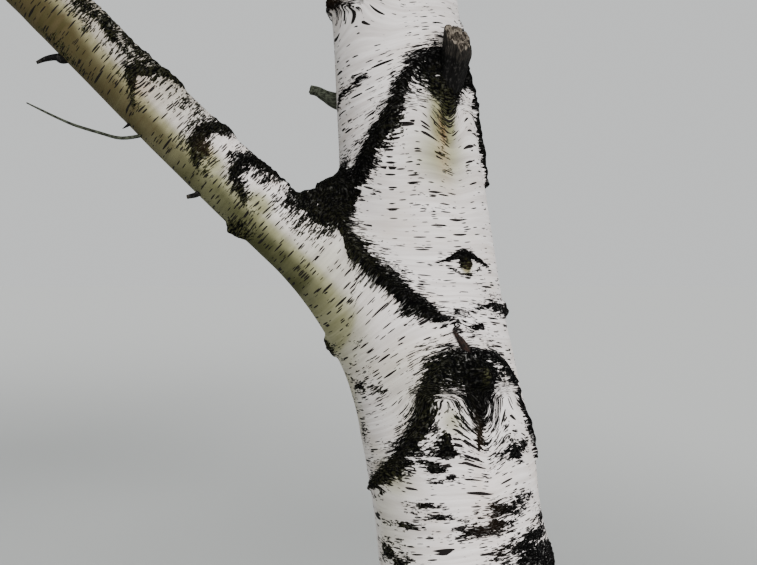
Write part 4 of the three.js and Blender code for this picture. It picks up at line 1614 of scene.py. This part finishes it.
def dead_wood_material():
    """Fibrous dead wood, paler on its broken face, and black, green or brown where the vertex says so."""
    material, tree, surface = new_material("dead wood")
    grain = attribute(tree, "grain", "Vector")
    dark, green, brown, broken = (attribute(tree, name) for name in ("dark", "green", "brown", "broken"))
    fibres = grain_noise(tree, grain, (520, 520, 34))
    rot = grain_noise(tree, grain, (260, 260, 190), detail=4.0)
    wood = mix_colours(tree, fibres.ramp(0.38, 0.70), *DEAD_WOOD)
    wood = mix_colours(tree, fibres.ramp(0.64, 0.74) * rot.ramp(0.48, 0.6), wood, DEAD_FIBRE)
    wood = mix_colours(tree, broken * 0.85, wood, mix_colours(tree, rot.ramp(0.42, 0.66), *BROKEN_WOOD))
    wood = mix_colours(tree, green, wood, mix_colours(tree, rot.ramp(0.35, 0.65), *GREEN_WOOD))
    wood = mix_colours(tree, brown, wood, mix_colours(tree, rot.ramp(0.35, 0.65), *BROWN_WOOD))
    black = mix_colours(tree, rot.ramp(0.5, 0.75), *BLACK_WOOD)
    share = (dark + (rot - 0.5) * 0.8).ramp(0.42, 0.58)
    bump = add_node(tree, "ShaderNodeBump", Strength=0.9, Distance=0.0016, Height=fibres * 1.2 + rot * 0.8)
    plug(tree, surface.inputs["Base Color"], mix_colours(tree, share, wood, black))
    plug(tree, surface.inputs["Roughness"], 0.82)
    plug(tree, surface.inputs["Specular IOR Level"], 0.14)
    plug(tree, surface.inputs["Normal"], bump)
    return material


dead_wood = dead_wood_material()
print("dead wood:", len(dead_wood.node_tree.nodes), "nodes")

# %% The stubs, thorns and twig
stub_upper = stub(
    "stub_upper_broken",
    [trunk_place(44, 1.780, -0.048), trunk_place(44, 1.808, -0.022), trunk_place(42, 1.838, 0.004),
     trunk_place(40, 1.864, 0.022), trunk_place(39, 1.881, 0.031)],
    [0.027, 0.0235, 0.0220, 0.0230, 0.0215], splinters=0.009, slant=(0.55, -0.55, 0), sides=64,
    black_until=0.74)
stub_left = stub(
    "stub_left_broken",
    [trunk_place(-90, 1.800, -0.030), trunk_place(-90, 1.805, 0.0), trunk_place(-90, 1.813, 0.018),
     trunk_place(-91, 1.821, 0.031), trunk_place(-91, 1.824, 0.043)],
    [0.018, 0.0135, 0.0095, 0.0080, 0.0074], splinters=0.002, tones={"green": 0.8})
stub_bough = stub(
    "stub_bough_thorn",
    [bough_place(178, 0.766, -0.020), bough_place(178, 0.772, 0.0), bough_place(178, 0.781, 0.0074),
     bough_place(178, 0.789, 0.0199), bough_place(178, 0.794, 0.034)],
    [0.011, 0.0085, 0.0052, 0.0042, 0.0026], splinters=0.001, sides=20, black_until=0.9)
twiglets = [
    stub("bough_tiny_stub", [bough_place(168, 0.480, -0.015), bough_place(168, 0.480, 0.002),
                             bough_place(168, 0.488, 0.0173)],
         [0.0055, 0.0045, 0.0032], splinters=0.001, sides=16, black_until=0.9),
    stub("bough_small_thorn", [bough_place(170, 0.630, -0.012), bough_place(170, 0.630, 0.0),
                               bough_place(170, 0.632, 0.013)],
         [0.0042, 0.0030, 0.0006], sides=12, black_until=0.9),
    stub("bough_bare_twig",
         [bough_place(172, 0.598, -0.020), bough_place(172, 0.606, 0.0), bough_place(172, 0.624, 0.0254),
          bough_place(172, 0.651, 0.0431), bough_place(172, 0.683, 0.0617), bough_place(172, 0.707, 0.0722),
          bough_place(172, 0.737, 0.0835), bough_place(172, 0.758, 0.0911)],
         [0.0040, 0.0029, 0.0026, 0.0024, 0.0022, 0.0019, 0.0016, 0.0011], sides=10, tones={"green": 0.8}),
]
splinter = stub(
    "trunk_splinter",
    [trunk_place(23.5, 1.378, -0.004), trunk_place(21.5, 1.393, 0.004), trunk_place(18.5, 1.408, 0.007),
     trunk_place(15, 1.424, 0.004)],
    [0.0084, 0.0078, 0.0054, 0.0018], splinters=0.002, sides=16, tones={"brown": 0.5})
for piece, node in [(stub_upper, "stub_upper"), (stub_left, "stub_left"), (stub_bough, "stub_bough"),
                    (splinter, "trunk"), *((piece, "bough_low_left") for piece in twiglets)]:
    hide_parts(node)
    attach(piece, "root")
print("stubs:", 4 + len(twiglets), "pieces")

# %% [markdown]
# Growing the crown
#
# A birch's crown is thousands of thin twigs that hang. Growing each one in a loop would take minutes, so a
# whole generation grows at once, as arrays: branches reach for places spread through each mass, shoots leave
# the branches, and twigs leave the shoots and droop. Each sets off at an angle to the one that carries it,
# and bends down more the thinner it is. The chance is seeded, so the tree is the same each time.

# %% Shoots
BRANCHES_PER_MASS = 6
BRANCHES_PER_CUBIC_METRE = 2.3
BRANCH_WIDTHS = (0.0028, 0.0052)
SHOOTS = 7
TWIGS = 5
BRANCH_RINGS = 8
SHOOT_RINGS = 5
TWIG_RINGS = 4


def spread_places(mass, count, chance):
    """Places inside a mass that keep away from each other."""
    inside = []
    while len(inside) < count * 3:
        place = chance.uniform(mass.low, mass.high)
        if mass.depth(place) > 0.05:
            inside.append(place)
    inside = np.array(inside)
    chosen = [0]
    nearest = np.linalg.norm(inside - inside[0], axis=1)
    while len(chosen) < count:
        chosen.append(int(nearest.argmax()))
        nearest = np.minimum(nearest, np.linalg.norm(inside - inside[chosen[-1]], axis=1))
    return inside[chosen]


def branches_in(mass, chance):
    """Branches from a mass's leader to places all through it, and their thickness where they start."""
    leader = mass.leader
    ways = unit(np.gradient(leader, axis=0))
    steps = np.linalg.norm(np.diff(leader, axis=0), axis=1)
    along = np.concatenate([[0], np.cumsum(steps)])
    lines, widths = [], []
    count = BRANCHES_PER_MASS + round(mass.volume * BRANCHES_PER_CUBIC_METRE)
    for place in spread_places(mass, count, chance):
        off = np.linalg.norm(leader - place, axis=1)
        nearest = int(off.argmin())
        back = along[nearest] - chance.uniform(0.25, 0.55) * off[nearest]
        i = int(np.searchsorted(along, max(back, 0.0)).clip(0, len(leader) - 1))
        reach = np.linalg.norm(place - leader[i])
        control = leader[i] + 0.30 * reach * ways[i] + 0.25 * (place - leader[i])
        control = control + np.array([0, 0, 0.14 * reach]) + chance.normal(0, 0.05, 3) * reach
        lines.append(arc(leader[i], control, place, BRANCH_RINGS))
        widths.append(BRANCH_WIDTHS[0] + BRANCH_WIDTHS[1] * reach)
    return np.array(lines), np.array(widths)


def shoots_on(parents, widths, count, first, length, spread, droop, rings, chance):
    """The next generation: count shoots on each parent, from a share of its length on."""
    number = len(parents)
    share = (np.arange(count)[None, :] + chance.uniform(0, 1, (number, count))) / count
    share = first + (1 - first) * share
    share[:, -1] = 1.0
    place = share * (parents.shape[1] - 1)
    low = np.minimum(place.astype(int), parents.shape[1] - 2)
    row = np.arange(number)[:, None]
    part = (place - low)[..., None]
    starts = parents[row, low] * (1 - part) + parents[row, low + 1] * part
    along = unit(parents[row, low + 1] - parents[row, low])
    aside = unit(np.cross(along, (0.02, 0.01, 1.0)))
    above = np.cross(aside, along)
    turn = chance.uniform(-0.9, 0.9, (number, count)) + np.pi * (np.arange(count) % 2)[None, :]
    ways = aside * np.cos(turn)[..., None] + above * np.sin(turn)[..., None]
    lean = chance.uniform(*spread, (number, count))[..., None] * (share < 1)[..., None]
    ways = unit(along * (1 - lean) + ways * lean).reshape(-1, 3)
    starts = starts.reshape(-1, 3)
    lengths = (chance.uniform(*length, (number, count)) * (1.25 - 0.5 * share)).ravel()
    bends = chance.uniform(*droop, number * count)
    t = np.linspace(0, 1, rings)
    lines = starts[:, None, :] + ways[:, None, :] * (lengths[:, None] * t)[..., None]
    lines[..., 2] -= (bends * lengths**2)[:, None] * t**2
    stray = chance.normal(0, 0.035, lines.shape) * lengths[:, None, None] * t[None, :, None]
    parent_widths = (widths[:, None] * (1 - 0.72 * share)).ravel()
    return lines + stray, parent_widths


# %% Leaders of the top and of the hanging masses
TOP_LEADER_FROM = 11.7
TOP_LEADER_RINGS = 40
ARCH_WIDTH = 0.011
ARCH_FROM = {"a": 10, "b": 14}
ARCH_RISE = 0.15
ARCH_END = 0.55
top_heights = np.linspace(TOP_LEADER_FROM, CROWN_TOP, TOP_LEADER_RINGS)
masses["leaves_top"].leader = np.stack([*trunk_centre(top_heights), top_heights], axis=1)
arches = []
for name, mass in masses.items():
    if "hanging" in name:
        _, _, which, carrier = name.split("_", 3)
        start = masses["leaves_" + carrier].leader[ARCH_FROM[which]]
        half_height = (mass.high[2] - mass.low[2]) / 2
        top = np.array([*mass.centre[:2], max(start[2], mass.high[2]) + ARCH_RISE])
        tip = mass.centre - np.array([0, 0, ARCH_END * half_height])
        mass.leader = arc(start, top, tip, LEADER_RINGS)
        arches.append(mass.leader)
print("arches:", len(arches))

# %% The crown's growth
GROWTH_MARGIN = 0.10
THICKEST_TWIG_ROOT = 0.0026


def within_box(places):
    """Whether each place is in the frame's box, or outside it by no more than a shoot may be."""
    above_low = places > np.array(cad_low) - GROWTH_MARGIN
    below_high = places < np.array(cad_high) + GROWTH_MARGIN
    return (above_low & below_high).all(axis=-1)


chance = np.random.default_rng(11)
grown = [branches_in(mass, chance) for mass in masses.values()]
branches, branch_widths = (np.concatenate(parts) for parts in zip(*grown))
shoots, shoot_widths = shoots_on(branches, branch_widths, SHOOTS, 0.22, (0.26, 0.56), (0.35, 0.7),
                                 (0.2, 0.8), SHOOT_RINGS, chance)
kept = within_box(shoots).all(axis=1)
shoots, shoot_widths = shoots[kept], shoot_widths[kept]
twigs, twig_widths = shoots_on(shoots, np.minimum(shoot_widths, THICKEST_TWIG_ROOT), TWIGS, 0.15,
                               (0.17, 0.42), (0.3, 0.75), (0.7, 2.4), TWIG_RINGS, chance)
kept = within_box(twigs).all(axis=1)
shoot_of_twig = np.repeat(np.arange(len(shoots)), TWIGS)[kept]
twigs, twig_widths = twigs[kept], twig_widths[kept]
print("branches", len(branches), "shoots", len(shoots), "twigs", len(twigs))

# %% Wood from lines
PIECE_TRIANGLES = 190_000


def wood_from_lines(lines, widths, tip_width, sides):
    """Vertices and triangles of many thin limbs at once, closed at both ends."""
    number, rings = lines.shape[:2]
    along = unit(np.gradient(lines, axis=1))
    first = unit(np.cross(along, (0.31, 0.17, 0.93)))
    second = np.cross(along, first)
    share = np.linspace(0, 1, rings)[None, :]
    radii = widths[:, None] * (1 - share) + tip_width * share
    t = 2 * np.pi * np.arange(sides) / sides
    circle = first[:, :, None] * np.cos(t)[:, None] + second[:, :, None] * np.sin(t)[:, None]
    vertices = (lines[:, :, None] + circle * radii[..., None, None])[:, :-1].reshape(number, -1, 3)
    vertices = np.concatenate([vertices, lines[:, -1:]], axis=1)
    quads = tube_faces(rings - 1, sides)
    last = (rings - 2) * sides
    k = np.arange(sides)
    tip = np.stack([last + k, last + (k + 1) % sides, np.full(sides, (rings - 1) * sides)], axis=1)
    base = np.stack([np.zeros(sides - 2, int), k[2:], k[1:-1]], axis=1)
    faces = np.concatenate([quads[:, [0, 1, 2]], quads[:, [0, 2, 3]], tip, base])
    each = vertices.shape[1]
    faces = faces[None] + (np.arange(number) * each)[:, None, None]
    return vertices.reshape(-1, 3), faces.reshape(-1, 3)


def wood_pieces(name, lines, widths, tip_width, sides, material):
    """Pieces of joined limbs, shared out evenly so that each has about PIECE_TRIANGLES triangles or fewer.
    Pieces of joined limbs, each below the most triangles that a piece may have.
    """
    each = 2 * sides * (lines.shape[1] - 2) + 2 * sides - 2
    count = math.ceil(len(lines) * each / PIECE_TRIANGLES)
    pieces = []
    for i, part in enumerate(np.array_split(np.arange(len(lines)), count)):
        piece = new_object(f"{name}_{i + 1}", *wood_from_lines(lines[part], widths[part], tip_width, sides))
        piece.data.materials.append(material)
        piece.data.shade_smooth()
        pieces.append(piece)
    return pieces


def plain_material(name, colour, roughness):
    """A material of one colour."""
    material, tree, surface = new_material(name)
    plug(tree, surface.inputs["Base Color"], colour)
    plug(tree, surface.inputs["Roughness"], roughness)
    plug(tree, surface.inputs["Specular IOR Level"], 0.3)
    return material


branch_wood = plain_material("branch bark", (0.115, 0.075, 0.052), 0.6)
twig_wood = plain_material("twig bark", (0.075, 0.035, 0.022), 0.5)
wood = wood_pieces("arches", np.array(arches), np.full(len(arches), ARCH_WIDTH), 0.003, 7, branch_wood)
wood += wood_pieces("branches", branches, branch_widths, 0.0012, 5, branch_wood)
wood += wood_pieces("shoots", shoots, np.minimum(shoot_widths, 0.0034), 0.0009, 4, twig_wood)
wood += wood_pieces("twigs", twigs, np.minimum(twig_widths, 0.0014), 0.0005, 3, twig_wood)
print("wood:", sum(len(p.data.polygons) for p in wood), "triangles in", len(wood), "pieces")

# %% [markdown]
# Leaves
#
# A birch leaf is a small toothed diamond that hangs by a thin stalk and folds a little along its rib. Seen
# from where the whole tree is seen, its outline is what counts, so each leaf is four triangles. The leaves
# are instances of one leaf on points, each with its own turn, made real at the end, because instances don't
# leave Blender. The greens are dealt out by shoot, so the leaves of one spray share one colour.

# %% Where the leaves are
LEAVES = 14
LEAF_LENGTH = 0.062
LEAF_UNEVEN = 0.25
GREEN_SHARES = [0.2, 0.22, 0.22, 0.14, 0.14, 0.08]
LEAF_GREENS = [(0.070, 0.150, 0.022), (0.095, 0.190, 0.028), (0.120, 0.225, 0.035),
               (0.150, 0.260, 0.045), (0.055, 0.125, 0.026), (0.185, 0.290, 0.060)]


def leaf_places(twigs, chance):
    """For each leaf its place and its turn."""
    number = len(twigs)
    share = (np.arange(LEAVES)[None, :] + chance.uniform(0.1, 0.9, (number, LEAVES))) / LEAVES
    place = (0.10 + 0.90 * share) * (twigs.shape[1] - 1)
    low = np.minimum(place.astype(int), twigs.shape[1] - 2)
    row = np.arange(number)[:, None]
    part = (place - low)[..., None]
    points = (twigs[row, low] * (1 - part) + twigs[row, low + 1] * part).reshape(-1, 3)
    along = unit(twigs[row, low + 1] - twigs[row, low]).reshape(-1, 3)
    side = np.tile(np.where(np.arange(LEAVES) % 2, 1.0, -1.0), number)[:, None]
    aside = unit(np.cross(along, (0.05, 0.03, 1.0)) + chance.normal(0, 0.45, along.shape)) * side
    ways = unit(0.45 * along + 0.75 * aside + chance.normal(0, 0.22, along.shape) + (0, 0, -0.5))
    faces_up = (0, 0, 0.8) + 0.55 * aside + chance.normal(0, 0.35, along.shape)
    faces_up = unit(faces_up - (faces_up * ways).sum(axis=1, keepdims=True) * ways)
    across = np.cross(ways, faces_up)
    turns = np.stack([
        np.arctan2(ways[:, 2], faces_up[:, 2]),
        -np.arcsin(np.clip(across[:, 2], -1, 1)),
        np.arctan2(across[:, 1], across[:, 0]),
    ], axis=1)
    return points, turns


points, turns = leaf_places(twigs, chance)
shoot_greens = chance.choice(len(LEAF_GREENS), len(shoots), p=GREEN_SHARES)
leaf_greens = np.repeat(shoot_greens[shoot_of_twig], LEAVES)
print("leaves:", len(points))

# %% The leaf tree of nodes
def single_leaf():
    """A leaf of one metre, folded along its rib, that the node tree makes small."""
    outline = [(0, 0, 0), (0.36, 0.34, 0.07), (0.0, 1.0, -0.10), (-0.36, 0.34, 0.07), (0, 0.42, 0)]
    mesh = bpy.data.meshes.new("leaf")
    mesh.from_pydata(outline, [], [(0, 1, 4), (1, 2, 4), (2, 3, 4), (3, 0, 4)])
    return bpy.data.objects.new("leaf", mesh)


def leaf_nodes():
    """Puts the leaf on each point, turned as the point says, and makes it real."""
    tree = bpy.data.node_groups.new("leaves on points", "GeometryNodeTree")
    for name, kind in [("Geometry", "NodeSocketGeometry"), ("Leaf", "NodeSocketObject"),
                       ("Length", "NodeSocketFloat"), ("Uneven", "NodeSocketFloat"),
                       ("Seed", "NodeSocketInt"), ("Material", "NodeSocketMaterial")]:
        tree.interface.new_socket(name=name, in_out="INPUT", socket_type=kind)
    tree.interface.new_socket(name="Geometry", in_out="OUTPUT", socket_type="NodeSocketGeometry")
    wanted = tree.nodes.new("NodeGroupInput").outputs
    done = tree.nodes.new("NodeGroupOutput")

    def made(kind, settings=None, **values):
        """A node, with its settings made first, then values or links of its named inputs."""
        node = tree.nodes.new(kind)
        for key, value in (settings or {}).items():
            setattr(node, key, value)
        for key, value in values.items():
            slot = next(s for s in node.inputs if s.name == key.replace("_", " ") and s.enabled)
            if isinstance(value, bpy.types.NodeSocket):
                tree.links.new(value, slot)
            else:
                slot.default_value = value
        return next(s for s in node.outputs if s.enabled)

    def sum_of(operation):
        """The leaf's length with its unevenness added or taken off."""
        node = made("ShaderNodeMath", {"operation": operation}).node
        tree.links.new(wanted["Length"], node.inputs[0])
        tree.links.new(wanted["Uneven"], node.inputs[1])
        return node.outputs[0]

    size = made("FunctionNodeRandomValue", {"data_type": "FLOAT"}, Min=sum_of("SUBTRACT"), Max=sum_of("ADD"),
                Seed=wanted["Seed"])
    turn = made("GeometryNodeInputNamedAttribute", {"data_type": "FLOAT_VECTOR"}, Name="turn")
    spun = made("FunctionNodeEulerToRotation", Euler=turn)
    leaf = made("GeometryNodeObjectInfo", {"transform_space": "ORIGINAL"}, Object=wanted["Leaf"])
    placed = made("GeometryNodeInstanceOnPoints", Points=wanted["Geometry"],
                  Instance=leaf.node.outputs["Geometry"], Rotation=spun, Scale=size)
    real = made("GeometryNodeRealizeInstances", Geometry=placed)
    painted = made("GeometryNodeSetMaterial", Geometry=real, Material=wanted["Material"])
    tree.links.new(painted, done.inputs[0])
    return tree


def leaf_piece(name, points, turns, tree, leaf, material, seed):
    """One plain mesh of leaves on an array of points."""
    mesh = bpy.data.meshes.new(name)
    mesh.vertices.add(len(points))
    mesh.vertices.foreach_set("co", points.astype(np.float32).ravel())
    set_values(mesh, "turn", turns)
    piece = bpy.data.objects.new(name, mesh)
    bpy.context.scene.collection.objects.link(piece)
    modifier = piece.modifiers.new("leaves", "NODES")
    modifier.node_group = tree
    values = {"Leaf": leaf, "Length": LEAF_LENGTH, "Uneven": LEAF_LENGTH * LEAF_UNEVEN, "Seed": seed,
              "Material": material}
    for socket in tree.interface.items_tree:
        if socket.in_out == "INPUT" and socket.name in values:
            modifier[socket.identifier] = values[socket.name]
    plain_mesh(piece)
    piece.data.name = name
    return piece


leaf = single_leaf()
tree = leaf_nodes()
leaf_pieces = []
most_leaves = PIECE_TRIANGLES // len(leaf.data.polygons)
for i, colour in enumerate(LEAF_GREENS):
    material = plain_material(f"leaf green {i + 1}", colour, 0.5)
    chosen = np.flatnonzero(leaf_greens == i)
    for j, part in enumerate(np.array_split(chosen, math.ceil(len(chosen) / most_leaves))):
        leaf_pieces.append(leaf_piece(f"leaves_green_{i + 1}_{j + 1}", points[part], turns[part], tree, leaf,
                                      material, 100 * i + j))
bpy.data.objects.remove(leaf)
print("leaf pieces:", [len(p.data.polygons) for p in leaf_pieces])

# %% The crown on the frame
for piece in leaf_pieces:
    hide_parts(*masses)
for piece in wood + leaf_pieces:
    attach(piece, "root")

# %% [markdown]
# The floor and the light
#
# The tree stands on a plain pale floor, under a pale sky. One soft sun is low in front of the tree, a little
# to the right.

# %% Floor and light
FLOOR_SIZE = 800
FLOOR_COLOUR = (0.50, 0.51, 0.505)
SUN_FROM = (2.8, -7.8, 4.6)
SUN_STRENGTH = 4.5
SUN_WIDTH = 40
SUN_COLOUR = (1.0, 0.985, 0.97)
SKY_COLOUR = (0.90, 0.92, 0.92, 1)
SKY_STRENGTH = 0.82


def studio_floor():
    """A wide flat floor at the tree's foot."""
    half = FLOOR_SIZE / 2
    floor = new_object("floor", [(-half, -half, 0), (half, -half, 0), (half, half, 0), (-half, half, 0)],
                       [(0, 1, 2, 3)])
    material, tree, surface = new_material("studio floor")
    plug(tree, surface.inputs["Base Color"], FLOOR_COLOUR)
    plug(tree, surface.inputs["Roughness"], 0.9)
    floor.data.materials.append(material)


def soft_sun(name, way, strength, width, colour):
    """Light from one way, told as a place to look from, as soft as a sky patch of a width in degrees."""
    data = bpy.data.lights.new(name, "SUN")
    data.energy = strength
    data.angle = math.radians(width)
    data.color = colour
    lamp = bpy.data.objects.new(name, data)
    lamp.rotation_euler = (-Vector(way)).to_track_quat("-Z", "Y").to_euler()
    bpy.context.scene.collection.objects.link(lamp)


studio_floor()
soft_sun("front light", SUN_FROM, SUN_STRENGTH, SUN_WIDTH, SUN_COLOUR)
world = bpy.data.worlds.new("pale sky")
world.use_nodes = True
sky = world.node_tree.nodes["Background"]
sky.inputs["Color"].default_value = SKY_COLOUR
sky.inputs["Strength"].default_value = SKY_STRENGTH
bpy.context.scene.world = world
print("light:", SUN_STRENGTH, "from the sun and", SKY_STRENGTH, "from the sky")
